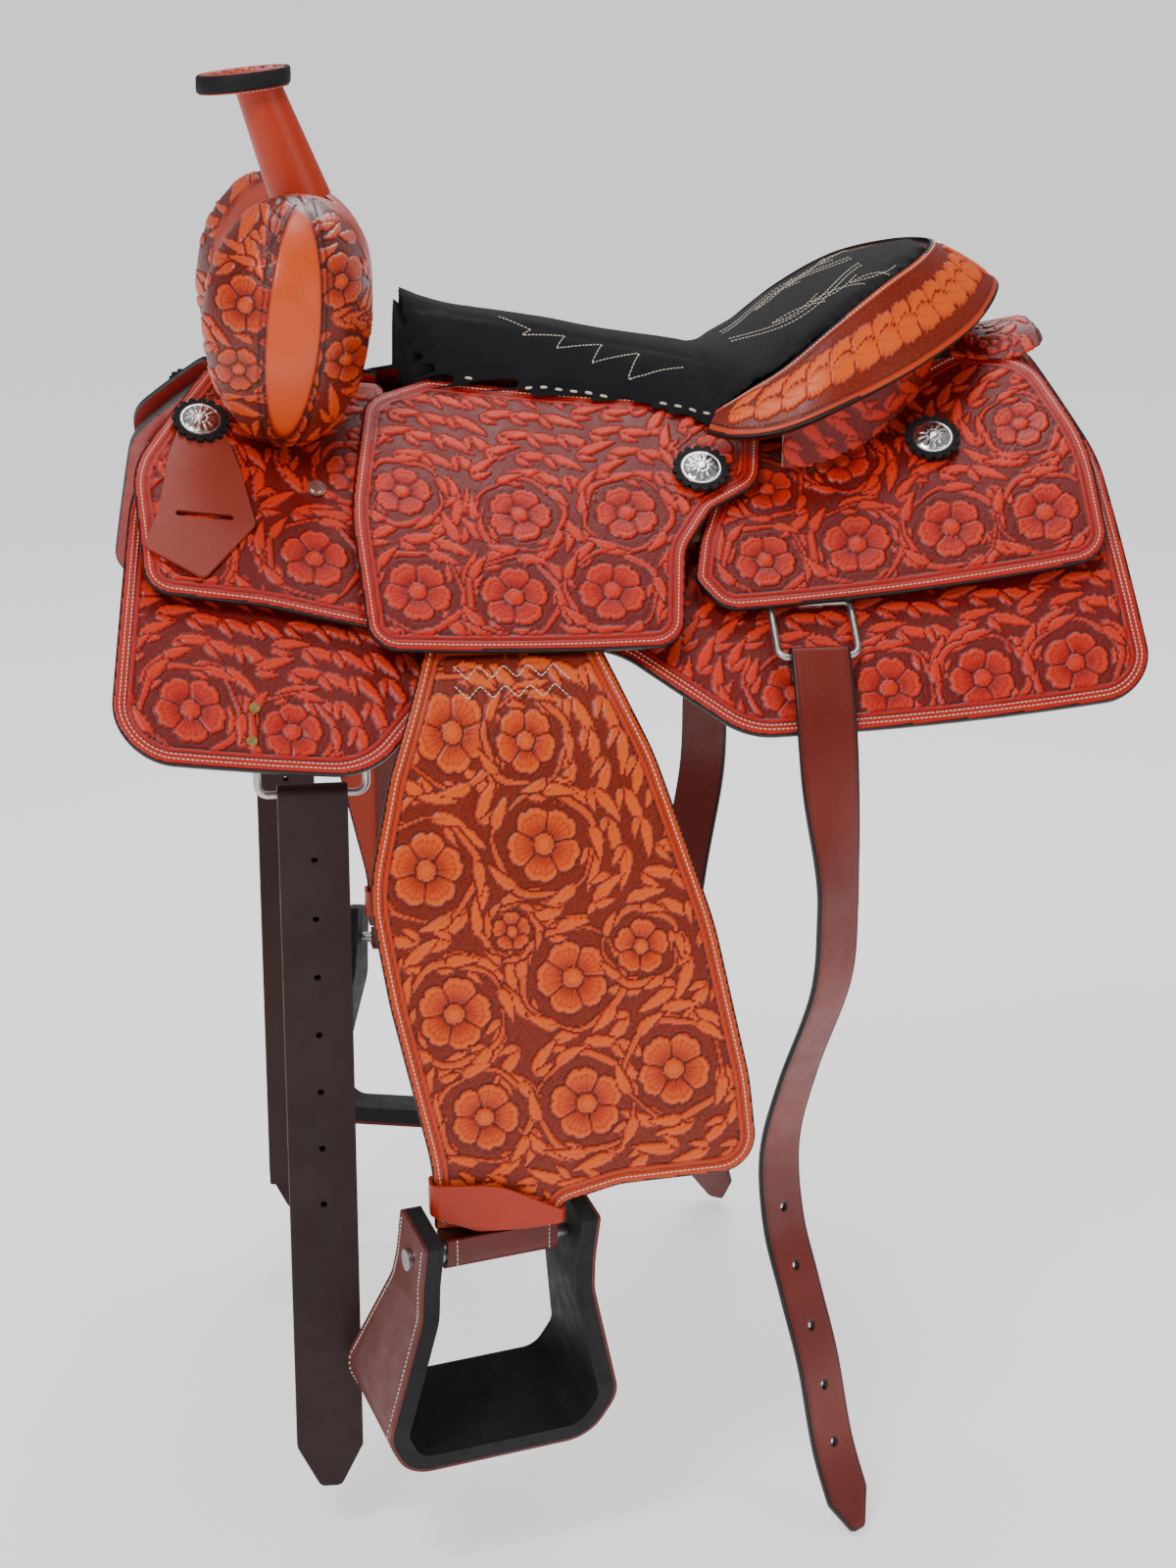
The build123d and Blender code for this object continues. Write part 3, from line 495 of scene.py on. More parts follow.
def ramp(tree, value, stops):
    """Colours by value; a stop is (position, colour)."""
    node = tree.nodes.new("ShaderNodeValToRGB")
    points = node.color_ramp.elements
    while len(points) < len(stops):
        points.new(0.5)
    for point, (where, colour) in zip(points, stops):
        point.position = where
        point.color = (*colour, 1.0)
    tree.links.new(value, node.inputs["Fac"])
    return node.outputs["Color"]


def mix(tree, factor, a, b, kind="MIX"):
    """Two colours or sockets blended."""
    node = tree.nodes.new("ShaderNodeMix")
    node.data_type = "RGBA"
    node.blend_type = kind
    for socket, value in ((node.inputs[0], factor), (node.inputs[6], a), (node.inputs[7], b)):
        if isinstance(value, (float, int)):
            socket.default_value = value
        elif isinstance(value, tuple):
            socket.default_value = (*value, 1.0)
        else:
            tree.links.new(value, socket)
    return node.outputs[2]


def bumps(tree, shader, layers):
    """Fine surface grain: (value, strength, distance) each, one over another."""
    last = None
    for value, strength, distance in layers:
        node = tree.nodes.new("ShaderNodeBump")
        node.inputs["Strength"].default_value = strength
        node.inputs["Distance"].default_value = distance
        tree.links.new(value, node.inputs["Height"])
        if last:
            tree.links.new(last, node.inputs["Normal"])
        last = node.outputs["Normal"]
    tree.links.new(last, shader.inputs["Normal"])


def roughness(tree, shader, value, low, high, end):
    """Roughness that wanders between two values."""
    stops = [(0.3, (low,) * 3), (end, (high,) * 3)]
    tree.links.new(ramp(tree, value, stops), shader.inputs["Roughness"])


def leather(name, base, dark, light, coat=0.12, grain=0.25):
    """Antiqued leather: dye settles dark in the cuts, painted shade darkens the low relief and a painted
    highlight lightens the high spots.
    """
    mat, tree, shader = new_material(name)
    carve = tree.nodes.new("ShaderNodeAttribute")
    carve.attribute_name = "carve"
    value = carve.outputs["Fac"]
    scaled = tree.nodes.new("ShaderNodeMapRange")
    scaled.inputs["From Min"].default_value = -1.4
    scaled.inputs["From Max"].default_value = 0.6
    tree.links.new(value, scaled.inputs["Value"])
    patches = noise(tree, 14.0)
    tint = mix(tree, patches, tuple(c * 0.72 for c in base), tuple(min(c * 1.2, 1) for c in base))
    depth = scaled.outputs["Result"]
    between = tuple(0.55 * a + 0.45 * b for a, b in zip(dark, base))
    # Dye dark in the cuts rising to the base colour, then a painted highlight in the light colour on the
    # high spots.
    dyed_cuts_and_painted_highlight = ramp(tree, depth, [(0.12, dark), (0.42, between), (0.66, base), (0.93, light)])
    colour = mix(tree, 0.42, dyed_cuts_and_painted_highlight, tint)
    fine = noise(tree, 420.0, 3.0)
    flecks = ramp(tree, fine, [(0.3, (0.15, 0.04, 0.03)), (0.7, light)])
    colour = mix(tree, 0.16, colour, flecks, "OVERLAY")
    # Painted shade: the relief darkened by depth, most in the deepest cuts, on top of the dye.
    shade = ramp(tree, depth, [(0.02, (0.08, 0.06, 0.06)), (0.35, (0.5, 0.45, 0.45)),
                               (0.6, (0.8, 0.78, 0.78)), (0.9, (1, 1, 1))])
    colour = mix(tree, 0.85, colour, shade, "MULTIPLY")
    cells = tree.nodes.new("ShaderNodeTexVoronoi")
    cells.inputs["Scale"].default_value = 620.0
    coords = tree.nodes.new("ShaderNodeTexCoord")
    tree.links.new(coords.outputs["Object"], cells.inputs["Vector"])
    dots = ramp(tree, cells.outputs["Distance"], [(0.15, (0.25, 0.2, 0.2)), (0.5, (1, 1, 1))])
    low_ground = ramp(tree, depth, [(0.36, (0.8, 0.8, 0.8)), (0.46, (0, 0, 0))])
    colour = mix(tree, low_ground, colour, mix(tree, 1.0, colour, dots, "MULTIPLY"))
    rim = tree.nodes.new("ShaderNodeMath")
    rim.operation = "LESS_THAN"
    rim.inputs[1].default_value = -5.0
    tree.links.new(value, rim.inputs[0])
    colour = mix(tree, rim.outputs[0], colour, (0.012, 0.008, 0.008))
    tree.links.new(colour, shader.inputs["Base Color"])
    roughness(tree, shader, noise(tree, 60.0, 5.0), 0.34, 0.55, 0.75)
    shader.inputs["Coat Weight"].default_value = coat
    shader.inputs["Coat Roughness"].default_value = 0.32
    shader.inputs["Specular IOR Level"].default_value = 0.32
    bumps(tree, shader, [(cells.outputs["Distance"], grain, 0.0004),
                         (noise(tree, 160.0), 0.2, 0.0006)])
    return mat


def plain(name, colour, dark, rough, scale, bump, metallic=0.0, depth=0.0004, coat=0.0,
          sheen=0.0, spec=0.5):
    """A material whose colour, roughness and grain all vary a little."""
    mat, tree, shader = new_material(name)
    patches = noise(tree, scale * 0.25)
    tree.links.new(mix(tree, patches, dark, colour), shader.inputs["Base Color"])
    roughness(tree, shader, noise(tree, scale), *rough, 0.7)
    shader.inputs["Metallic"].default_value = metallic
    shader.inputs["Specular IOR Level"].default_value = spec
    shader.inputs["Coat Weight"].default_value = coat
    shader.inputs["Sheen Weight"].default_value = sheen
    bumps(tree, shader, [(noise(tree, scale * 6.0), bump, depth)])
    return mat


# The last colour of each leather is its painted highlight for the high spots and also the colour of its
# light grain flecks.
RED = leather("tooled_red", (0.52, 0.010, 0.001), (0.035, 0.002, 0.001), (0.80, 0.06, 0.004))
ORANGE = leather("tooled_orange", (0.62, 0.05, 0.002), (0.07, 0.004, 0.001), (0.9, 0.18, 0.01))
TAN = leather("tooled_tan", (0.50, 0.03, 0.002), (0.035, 0.004, 0.002), (0.80, 0.13, 0.012), coat=0.35)
SMOOTH = leather("plain_leather", (0.46, 0.022, 0.002), (0.04, 0.003, 0.001), (0.66, 0.08, 0.006),
                 coat=0.2, grain=0.2)
KEEPER = leather("keeper_leather", (0.36, 0.05, 0.03), (0.06, 0.01, 0.007), (0.5, 0.1, 0.06), coat=0.2)
BILLET = leather("billet_leather", (0.2, 0.014, 0.006), (0.05, 0.004, 0.003), (0.3, 0.03, 0.012),
                 coat=0.15)
STRAP = plain("strap_leather", (0.16, 0.012, 0.006), (0.06, 0.005, 0.003), (0.38, 0.58), 60, 0.3,
              coat=0.08, spec=0.35)
DARK = plain("dark_strap", (0.045, 0.016, 0.013), (0.012, 0.006, 0.006), (0.45, 0.65), 60, 0.35,
             coat=0.04, spec=0.25)
BLACK = plain("black_leather", (0.02, 0.019, 0.02), (0.006, 0.006, 0.007), (0.6, 0.8), 80, 0.4,
              spec=0.22)
SUEDE = plain("black_suede", (0.012, 0.012, 0.014), (0.004, 0.004, 0.005), (0.85, 0.98), 120, 0.6,
              sheen=0.06, spec=0.2)
THREAD = plain("cream_thread", (0.86, 0.8, 0.68), (0.55, 0.45, 0.34), (0.6, 0.8), 300, 0.5)
SILVER = plain("silver", (0.86, 0.84, 0.8), (0.55, 0.53, 0.5), (0.14, 0.3), 140, 0.08, metallic=1.0)
STEEL = plain("steel", (0.6, 0.59, 0.57), (0.35, 0.34, 0.33), (0.25, 0.42), 200, 0.1, metallic=1.0)
BRASS = plain("brass", (0.83, 0.55, 0.2), (0.5, 0.3, 0.1), (0.2, 0.35), 200, 0.08, metallic=1.0)
WOOD = plain("wood", (0.5, 0.33, 0.18), (0.32, 0.19, 0.09), (0.45, 0.7), 50, 0.3)
FOAM = plain("felt", (0.5, 0.48, 0.42), (0.38, 0.36, 0.3), (0.9, 0.98), 150, 0.5)
WOOL = plain("woolskin", (0.78, 0.72, 0.6), (0.5, 0.43, 0.33), (0.9, 0.99), 70, 1.0, depth=0.003,
             sheen=0.3)

CAD_MATERIALS = [
    ("seat_foam", FOAM), ("seat_cover", SUEDE), ("seat_jockey", RED), ("stirrup_core", BLACK),
    ("tree_", WOOD), ("ground_seat", BLACK), ("stirrup_lining", BLACK), ("fleece", WOOL),
    ("front_billet", DARK), ("rear_billet", STRAP), ("stirrup_leather", STRAP), ("stirrup_loop", STRAP),
    ("stirrup_cover", STRAP), ("stirrup_bolt", STEEL), ("concho_rosettes", BLACK), ("conchos", SILVER),
    ("jockey_screws", SILVER), ("rigging_rivets", BRASS), ("front_ring", STEEL), ("rear_dee", STEEL),
    ("front_rigging", STEEL), ("rear_rigging", STEEL), ("horn_core", STEEL), ("horn_", TAN),
    ("latigo_keepers", KEEPER), ("fender_tongue", STRAP), ("cantle_back", RED), ("rear_connector", RED),
    ("hobble_strap", SMOOTH)]
for node_name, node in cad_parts.items():
    found = [m for prefix, m in CAD_MATERIALS if node_name.startswith(prefix)]
    node.data.materials.clear()
    node.data.materials.append(found[0] if found else RED)
    node.data.polygons.foreach_set("use_smooth", np.ones(len(node.data.polygons), bool))


def add(name, data, body, material, nodes=(), cut=None, sign=1.0):
    """One piece of the near side or, mirrored, of the off side, riding its body."""
    verts, faces = sided(sign, *data)
    obj = mesh_object(name, verts, faces, cut, material)
    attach(obj, body)
    if nodes:
        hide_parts(*nodes)
    return obj


# ---- tooled leathers ---------------------------------------------------------------------------
SKIRT_PATTERN = [
    (-240, 40, 15), (-288, 30, 12), (-342, 135, 150), (-365, 362, 42), (-180, 362, 60),
    (-100, 262, 60), (0, 258, 60), (92, 338, 60), (396, 348, 36), (388, 140, 200),
    (352, 5, 26), (300, 5, 10), (280, 40, 15)]
FRONT_PATTERN = [
    (-150, 34, 10), (-282, 30, 10), (-341, 140, 80), (-334, 247, 20), (-250, 250, 200),
    (-142, 270, 14), (-142, 120, 20)]
SEAT_PATTERN = [
    (-118, 46, 10), (-166, 70, 30), (-184, 180, 200), (-177, 297, 22), (50, 296, 24),
    (60, 215, 40), (84, 180, 20), (122, 160, 26), (130, 112, 20), (96, 74, 30)]
REAR_PATTERN = [
    (112, 96, 15), (74, 190, 25), (66, 226, 12), (84, 254, 24), (376, 252, 26), (377, 150, 200),
    (350, 56, 50), (296, 34, 30), (240, 62, 60)]
FENDER_PATTERN = [
    (-135, 140, 0), (-168, 225, 120), (-187, 305, 120), (-174, 385, 200), (-146, 508, 200),
    (-146, 551, 3), (-54, 551, 3), (-54, 536, 10), (-10, 524, 60), (92, 518, 28),
    (86, 450, 200), (62, 335, 300), (22, 215, 200), (-14, 140, 0)]
FLOWERS = {
    "skirt": [(-306, 318, 26), (-235, 330, 22), (130, 306, 24), (200, 310, 25), (270, 312, 25),
              (340, 312, 25)],
    "front": [(-286, 128, 20), (-212, 208, 25), (-298, 208, 20), (-180, 128, 20)],
    "seat": [(-140, 248, 25), (-70, 252, 25), (2, 248, 25), (-145, 160, 22), (20, 180, 24), (-60, 180, 24),
             (90, 128, 18)],
    "rear": [(120, 214, 23), (190, 208, 26), (262, 204, 26), (334, 204, 26), (190, 130, 22),
             (330, 120, 22), (130, 150, 20)],
    "fender": [(-122, 198, 27), (-145, 290, 27), (-60, 275, 27), (-128, 392, 27), (-42, 370, 27),
               (-108, 468, 25), (-34, 462, 27), (30, 440, 27), (-85, 335, 14), (-70, 205, 22), (8, 350, 20)]}


def tooled(flowers, margin, lines=(0.0, 4.0)):
    """A leather's relief: flowers inside a plain margin."""
    def relief(u, v, dist):
        work = Relief(u, v)
        work.spray(flowers)
        work.frame(dist, margin, lines)
        return work.h
    return relief


def spaced(low, high, fine_from):
    """Grid lines, coarse where another leather hides them."""
    return np.concatenate([np.arange(low, fine_from, 6.0), np.arange(fine_from, high, STEP)])


def leathers():
    """The four flat leathers of each side, tooled, with their border stitching."""
    plans = [
        ("skirt", SKIRT_PATTERN, SKIRT, "skirt", 14, 225, (5, 8.5)),
        ("front_jockey", FRONT_PATTERN, JOCKEY, "front", 13, 30, (5,)),
        ("seat_jockey", SEAT_PATTERN, SEAT_JOCKEY, "seat", 13, 46, (5,)),
        ("rear_jockey", REAR_PATTERN, JOCKEY, "rear", 13, 34, (5,))]
    for name, pattern, curve, key, margin, fine, rows in plans:
        outline = rounded(pattern)
        place = layer_map(curve)
        low, high = outline[:, 1].min(), outline[:, 1].max()
        verts, faces, cut = cut_sheet(outline, place, LEATHER, tooled(FLOWERS[key], margin),
                                      vs=spaced(low - STEP, high + STEP, fine))
        thread = join([stitches(inset(outline, row), place, -0.15) for row in rows])
        for side, sign in SIDES:
            add(f"{name}_tooled_{side}", (verts, faces), "saddle", RED, [f"{name}_{side}"],
                cut, sign)
            add(f"{name}_thread_{side}", thread, "saddle", THREAD, sign=sign)


def fenders():
    """The hanging fenders, with border stitching and two zigzags near the top."""
    outline = rounded(FENDER_PATTERN)
    verts, faces, cut = cut_sheet(outline, fender_map, LEATHER, tooled(FLOWERS["fender"], 12),
                                  top=LEATHER / 2)
    rows = [stitches(inset(outline, 5), fender_map, 1.85)]
    for down in (158, 170):
        zig = np.array([(-118 + 9 * i, down + 8 * (i % 2)) for i in range(10)], float)
        rows.append(stitches(zig, fender_map, 2.3, closed=False, pitch=3.0))
    thread = join(rows)
    for side, sign in SIDES:
        add(f"fender_tooled_{side}", (verts, faces), f"{side}_fender", ORANGE, [f"fender_{side}"],
            cut, sign)
        add(f"fender_thread_{side}", thread, f"{side}_fender", THREAD, sign=sign)


leathers()
fenders()


# ---- shapes taken over from the CAD part's own nodes -------------------------------------------
def remeshed(node_name, name, voxel):
    """A fine, even copy of one CAD node's mesh."""
    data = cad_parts[node_name].data
    data.calc_loop_triangles()
    points = np.zeros(len(data.vertices) * 3, np.float32)
    data.vertices.foreach_get("co", points)
    corners = np.zeros(len(data.loop_triangles) * 3, np.int32)
    data.loop_triangles.foreach_get("vertices", corners)
    obj = mesh_object(name, points.reshape(-1, 3) / MM, corners.reshape(-1, 3))
    remesh(obj, voxel, 2)
    return obj


def remesh(obj, voxel, smooth):
    """Even quads all over, smoothed a few times."""
    grid = obj.modifiers.new("grid", "REMESH")
    grid.mode = "VOXEL"
    grid.voxel_size = voxel * MM
    soft = obj.modifiers.new("soft", "SMOOTH")
    soft.factor = 0.5
    soft.iterations = smooth
    apply_modifiers(obj)


def apply_modifiers(obj):
    graph = bpy.context.evaluated_depsgraph_get()
    graph.update()
    made = bpy.data.meshes.new_from_object(obj.evaluated_get(graph), depsgraph=graph)
    obj.modifiers.clear()
    obj.data = made
    made.polygons.foreach_set("use_smooth", np.ones(len(made.polygons), bool))


def read(obj, field):
    data = np.zeros(len(obj.data.vertices) * 3, np.float32)
    obj.data.vertices.foreach_get(field, data)
    return data.reshape(-1, 3).astype(float)


def coords(obj):
    return read(obj, "co") / MM


def set_coords(obj, pts):
    obj.data.vertices.foreach_set("co", (pts * MM).astype(np.float32).ravel())
    obj.data.update()


def coat(obj, material):
    obj.data.materials.clear()
    obj.data.materials.append(material)


def fit(obj, slot, *nodes):
    """Puts a piece on the saddle in the place of its CAD nodes."""
    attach(obj, "saddle")
    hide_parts(*nodes)


def carve(obj, height, material):
    """Pushes a copy's surface by a relief and keeps the relief for its colour."""
    pts = coords(obj) + read(obj, "normal") * np.clip(height, -1.5, 0.7)[:, None]
    set_coords(obj, pts)
    layer = obj.data.attributes.new("carve", "FLOAT", "POINT")
    layer.data.foreach_set("value", height.astype(np.float32))
    coat(obj, material)


def fork():
    """Fork cover: flowers on both swells beside a smooth lens-shaped panel."""
    obj = remeshed("fork_cover", "fork_cover_tooled", 1.4)
    u, across, v = coords(obj).T
    work = Relief(u, v)
    work.spray([(-256, 95, 21), (-262, 48, 17), (-186, 108, 19), (-184, 52, 18),
                (-222, 148, 14), (-228, 4, 16)], rings=False)
    lens = np.hypot((u + 222 - 0.10 * (v - 78)) / 20.0, (v - 76) / 84.0)
    edge = (lens - 1) * 20
    work.h[lens < 1] = 0.45
    work.h -= 1.1 * groove(edge, 1.1) + 0.9 * groove(edge - 4, 0.9)
    away = abs(across)
    height = np.where(away > 72, work.h, -0.25 + 0.3 * np.sin(u * 0.3))
    carve(obj, np.where(away < 60, 0.0, height), TAN)
    fit(obj, "tan_leather", "fork_cover")


def fleece():
    """The skirts' lining, with the surface curled like wool."""
    for side, _ in SIDES:
        obj = remeshed(f"fleece_{side}", f"woolskin_{side}", 3.6)
        pts = coords(obj)
        x, y, z = pts.T
        curl = np.zeros(len(pts))
        for k, size in enumerate((0.32, 0.55, 0.9)):
            wave = np.sin(x * size + k) * np.sin(z * size * 1.3 + 2 * k) * np.cos(y * size + k)
            curl += wave / (k + 1)
        set_coords(obj, pts + read(obj, "normal") * (curl * 1.3 - 0.2)[:, None])
        coat(obj, WOOL)
        fit(obj, "fleece", f"fleece_{side}")


def cantle_back():
    """The leather on the back of the cantle, tooled with one row of flowers."""
    obj = remeshed("cantle_back", "cantle_back_tooled", 1.6)
    x, y, z = coords(obj).T
    work = Relief(np.arctan2(y, x - 150) * 115, z)
    row = [(side * at, 60 - at * 0.22, 13) for at in (42, 84, 124) for side in (-1, 1)]
    work.spray([(0, 62, 16)] + row, rings=False)
    carve(obj, np.clip(work.h, -0.8, 0.2), RED)
    fit(obj, "tooled_leather", "cantle_back")


def rear_connector():
    """The piece over the back behind the cantle: three flowers between dark edges."""
    obj = remeshed("rear_connector", "rear_connector_tooled", 1.3)
    x, y, _ = coords(obj).T
    middle = (x.min() + x.max()) / 2
    work = Relief(y * 1.15, x)
    work.spray([(0, middle, 15), (-42, middle, 13), (42, middle, 13)], rings=False)
    rim = np.minimum(x - x.min(), x.max() - x)
    carve(obj, np.where(rim < 4, -1.4, np.clip(work.h, -0.8, 0.3)), RED)
    fit(obj, "tooled_leather", "rear_connector")


fork()
fleece()
cantle_back()
rear_connector()

# ---- Cheyenne roll -----------------------------------------------------------------------------
RIM = [((95, -108, 3), (86, -118, -12)), ((118, -114, 19), (104, -132, -14)),
       ((143, -116, 35), (136, -143, -9)), ((180, -112, 64), (180, -146, 8)),
       ((222, -92, 91), (244, -124, 33)), ((261, -52, 107), (304, -73, 59)),
       ((280, 0, 113), (336, 0, 80))]


def rim_lines(t):
    """The roll's inner and outer edges, from the near end over the back to the off end."""
    near = [(np.array(i, float), np.array(o, float)) for i, o in RIM]
    flip = np.array([1, -1, 1])
    both = near + [(i * flip, o * flip) for i, o in near[-2::-1]]
    return spline([p[0] for p in both], t), spline([p[1] for p in both], t)


def roll_place(run, across, d):
    """On the roll: run counts the knots of RIM, across goes from inner to outer edge in shares."""
    run, across, d = grids(run, across, d)
    inner, outer = rim_lines(run)
    ahead_in, ahead_out = rim_lines(run + 0.02)
    behind_in, behind_out = rim_lines(run - 0.02)
    along = (ahead_in + ahead_out) - (behind_in + behind_out)
    normal = unit(np.cross(along, inner - outer))
    crown = 3.2 * np.sqrt(np.clip(1 - (2 * across - 1) ** 2, 0, 1))
    return inner + (outer - inner) * across[..., None] + normal * (d + crown - 1.6)[..., None]


def cheyenne_roll():
    """The leather rim of the cantle, carved with crossed leaves, and its row of stitches."""
    last = 2.0 * (len(RIM) - 1)
    fine = np.linspace(0.0, last, 601)
    across = np.linspace(0, 1, 49)
    t, a = np.meshgrid(fine, across, indexing="ij")
    inner, outer = rim_lines(fine)
    run = line_run((inner + outer) / 2)
    width = np.linalg.norm(outer - inner, axis=1)
    v = a * width[:, None]
    work = Relief(np.broadcast_to(run[:, None], t.shape), v)
    for place in np.arange(14, run[-1] - 10, 21):
        wide = float(np.interp(place, run, width))
        mirrored = place > run[-1] / 2
        for sign in (-1, 1):
            angle = math.pi - sign * 0.62 if mirrored else sign * 0.62
            work.leaf(place, wide * 0.5, min(27, 0.62 * wide + 6), 0.17 * wide + 1.5, angle,
                      -0.2 * sign)
    side = np.minimum(v, width[:, None] - v)
    work.h[side < 6] = 0.0
    work.h -= 0.8 * groove(side - 6, 0.8)
    top = roll_place(t, a, np.clip(work.h, -1.4, 0.6))
    verts, faces = closed_sheet(top, roll_place(t, a, -6.0))
    corner, ahead, aside = verts[faces[9]][[0, 1, 3]]
    if np.cross(ahead - corner, aside - corner)[2] < 0:
        faces = faces[:, ::-1]
    cut = np.concatenate([np.where(side < 1.4, CUT_EDGE, work.h).ravel(), np.full(t.size, -0.6)])
    add("cheyenne_roll_tooled", (verts, faces), "saddle", ORANGE, ["cheyenne_roll"],
        cut)
    row = 3.4
    want = np.linspace(0.3, last - 0.3, int(run[-1] / row))
    share = np.interp(want, fine, row / width)
    starts = roll_place(want, share, 0.1)
    ends = roll_place(want + 0.72 * (want[1] - want[0]), share, 0.1)
    thread = tube_row(starts, ends, roll_place(want, share, 1.1) - starts, 0.5, 0.2)
    add("cheyenne_roll_thread", thread, "saddle", THREAD)


cheyenne_roll()


# ---- seat: a padded suede pad, swelled by a cloth simulation -----------------------------------
SEAT = [  # x, centre height, half width, height of the edge
    (-137, 88, 51, 13), (-110, 77, 57, 9), (-50, 62, 63, 5.5), (12, 47, 69, 2.5), (70, 37, 84, -8),
    (94, 33, 98, -14), (118, 36, 109, 17), (143, 47, 111, 33), (180, 70, 108, 62), (222, 93, 89, 89),
    (250, 103, 62, 101), (268, 109, 38, 107), (277, 111, 24, 111)]
MOST_SWELL = 3.0


def seat_form():
    """The closed form of the pad: dished on top, its edges drawn in."""
    runs, shares = np.linspace(0, len(SEAT) - 1, 111), np.linspace(-1, 1, 61)
    row = spline(SEAT, runs)
    x, centre, half, edge = (row[:, k][:, None] for k in range(4))
    share = shares[None, :] * np.ones((len(runs), 1))
    top = centre + (edge - centre) * abs(share) ** 2.4
    ends = np.minimum(np.linspace(0, 1, len(runs)), np.linspace(1, 0, len(runs)))[:, None]
    full = np.sqrt(np.clip(1 - abs(share) ** 8, 0, 1)) * np.clip(ends / 0.03, 0, 1) ** 0.5
    y = share * half
    upper = np.stack([x + 0 * y, y, top - 1.5 * (1 - full) - 0.6], -1)
    lower = np.stack([x + 0 * y, y, top - 3.5 - 5.0 * full], -1)
    return closed_sheet(upper, lower)


def seat():
    """The pad: swelled a little by pressure inside its cover, with two long creases."""
    obj = mesh_object("seat_pad", *seat_form(), material=SUEDE)
    remesh(obj, 4.5, 3)
    start = coords(obj)
    cloth = obj.modifiers.new("swell", "CLOTH")
    cloth.settings.use_pressure = True
    cloth.settings.uniform_pressure_force = 4.0
    cloth.settings.effector_weights.gravity = 0.0
    for step in range(1, 21):
        bpy.context.scene.frame_set(step)
    apply_modifiers(obj)
    bpy.context.scene.frame_set(1)
    move = coords(obj) - start
    size = np.linalg.norm(move, axis=1)[:, None] + 1e-9
    pts = start + move * np.minimum(1, MOST_SWELL / size)
    x, y, _ = pts.T
    half = np.interp(x, [row[0] for row in SEAT], [row[2] for row in SEAT])
    pts[:, 2] -= 1.1 * groove(abs(y) - 0.42 * half, 3.0) * (x < 90)
    set_coords(obj, pts)
    finer = obj.modifiers.new("finer", "SUBSURF")
    finer.levels = finer.render_levels = 1
    apply_modifiers(obj)
    coat(obj, SUEDE)
    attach(obj, "saddle")
    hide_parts("seat_cover", "seat_foam")
    return obj


def on_surface(obj, spots):
    """Points straight above spots on an object, and the surface's normals there."""
    mesh = obj.data
    tree = BVHTree.FromPolygons([v.co.copy() for v in mesh.vertices],
                                [tuple(p.vertices) for p in mesh.polygons])
    here, up = [], []
    for x, y in spots:
        hit, normal, _, _ = tree.ray_cast(Vector((x * MM, y * MM, 0.4)), Vector((0, 0, -1)))
        if hit is None:
            here.append((np.nan,) * 3)
            up.append((0, 0, 1))
        else:
            here.append(tuple(c / MM for c in hit))
            up.append(tuple(normal))
    return np.array(here), np.array(up)


def rows_on(obj, lines, pitch, length, radius, lift=0.2):
    """Stitches along lines that are dropped on an object from above."""
    starts, ends, ups = [], [], []
    for line in lines:
        pts = resample(np.asarray(line, float), pitch, False)
        along = np.diff(pts, axis=0)
        along = unit(np.vstack([along, along[-1:]]))
        a, up = on_surface(obj, pts)
        b, _ = on_surface(obj, pts + along * length)
        good = ~(np.isnan(a).any(1) | np.isnan(b).any(1))
        good &= np.linalg.norm(a - b, axis=1) < 4 * length
        starts.append(a[good] + up[good] * lift)
        ends.append(b[good] + up[good] * lift)
        ups.append(up[good])
    return tube_row(np.concatenate(starts), np.concatenate(ends), np.concatenate(ups), radius, 0.3)


def seat_lines():
    """White zigzags on the sides, swirls on the dish and a bold lacing round the edge."""
    zig, swirl, lace = [], [], []
    edge = np.array([(row[0], row[2]) for row in SEAT[:6]], float)
    for sign in (-1, 1):
        rim = spline(edge, np.linspace(0, len(edge) - 1, 200)) * np.array([1, sign])
        lace.append(np.stack([rim[:, 0] + 3, rim[:, 1] - sign * 4.5], -1))
        x = np.array([-60, -36, -44, -10, -18, 18, 8, 46, 34, 76])
        y = np.array([20, 30, 36, 30, 42, 34, 50, 40, 60, 52])
        zig.append(np.stack([x, sign * y], -1))
        for base in (14, 24):
            a = np.linspace(0, 1, 60)
            swirl.append(np.stack([120 + 100 * a, sign * (base + 38 * np.sin(math.pi * a) ** 1.5)], -1))
        for k in range(3):
            a = np.linspace(0, 1, 40)
            leaf_x, leaf_y = 150 + 28 * k, 34 + 10 * k
            bow = np.sin(math.pi * a)
            for y in (leaf_y + 12 * bow, leaf_y + 26 * a - 8 * bow):
                swirl.append(np.stack([leaf_x + 34 * a, sign * y], -1))
    return zig + swirl, lace


pad = seat()
fine_lines, lace_lines = seat_lines()
add("seat_stitching", rows_on(pad, fine_lines, 2.9, 2.2, 0.45), "saddle", THREAD)
add("seat_lacing", rows_on(pad, lace_lines, 11.0, 5.5, 1.1, 0.3), "saddle", THREAD)


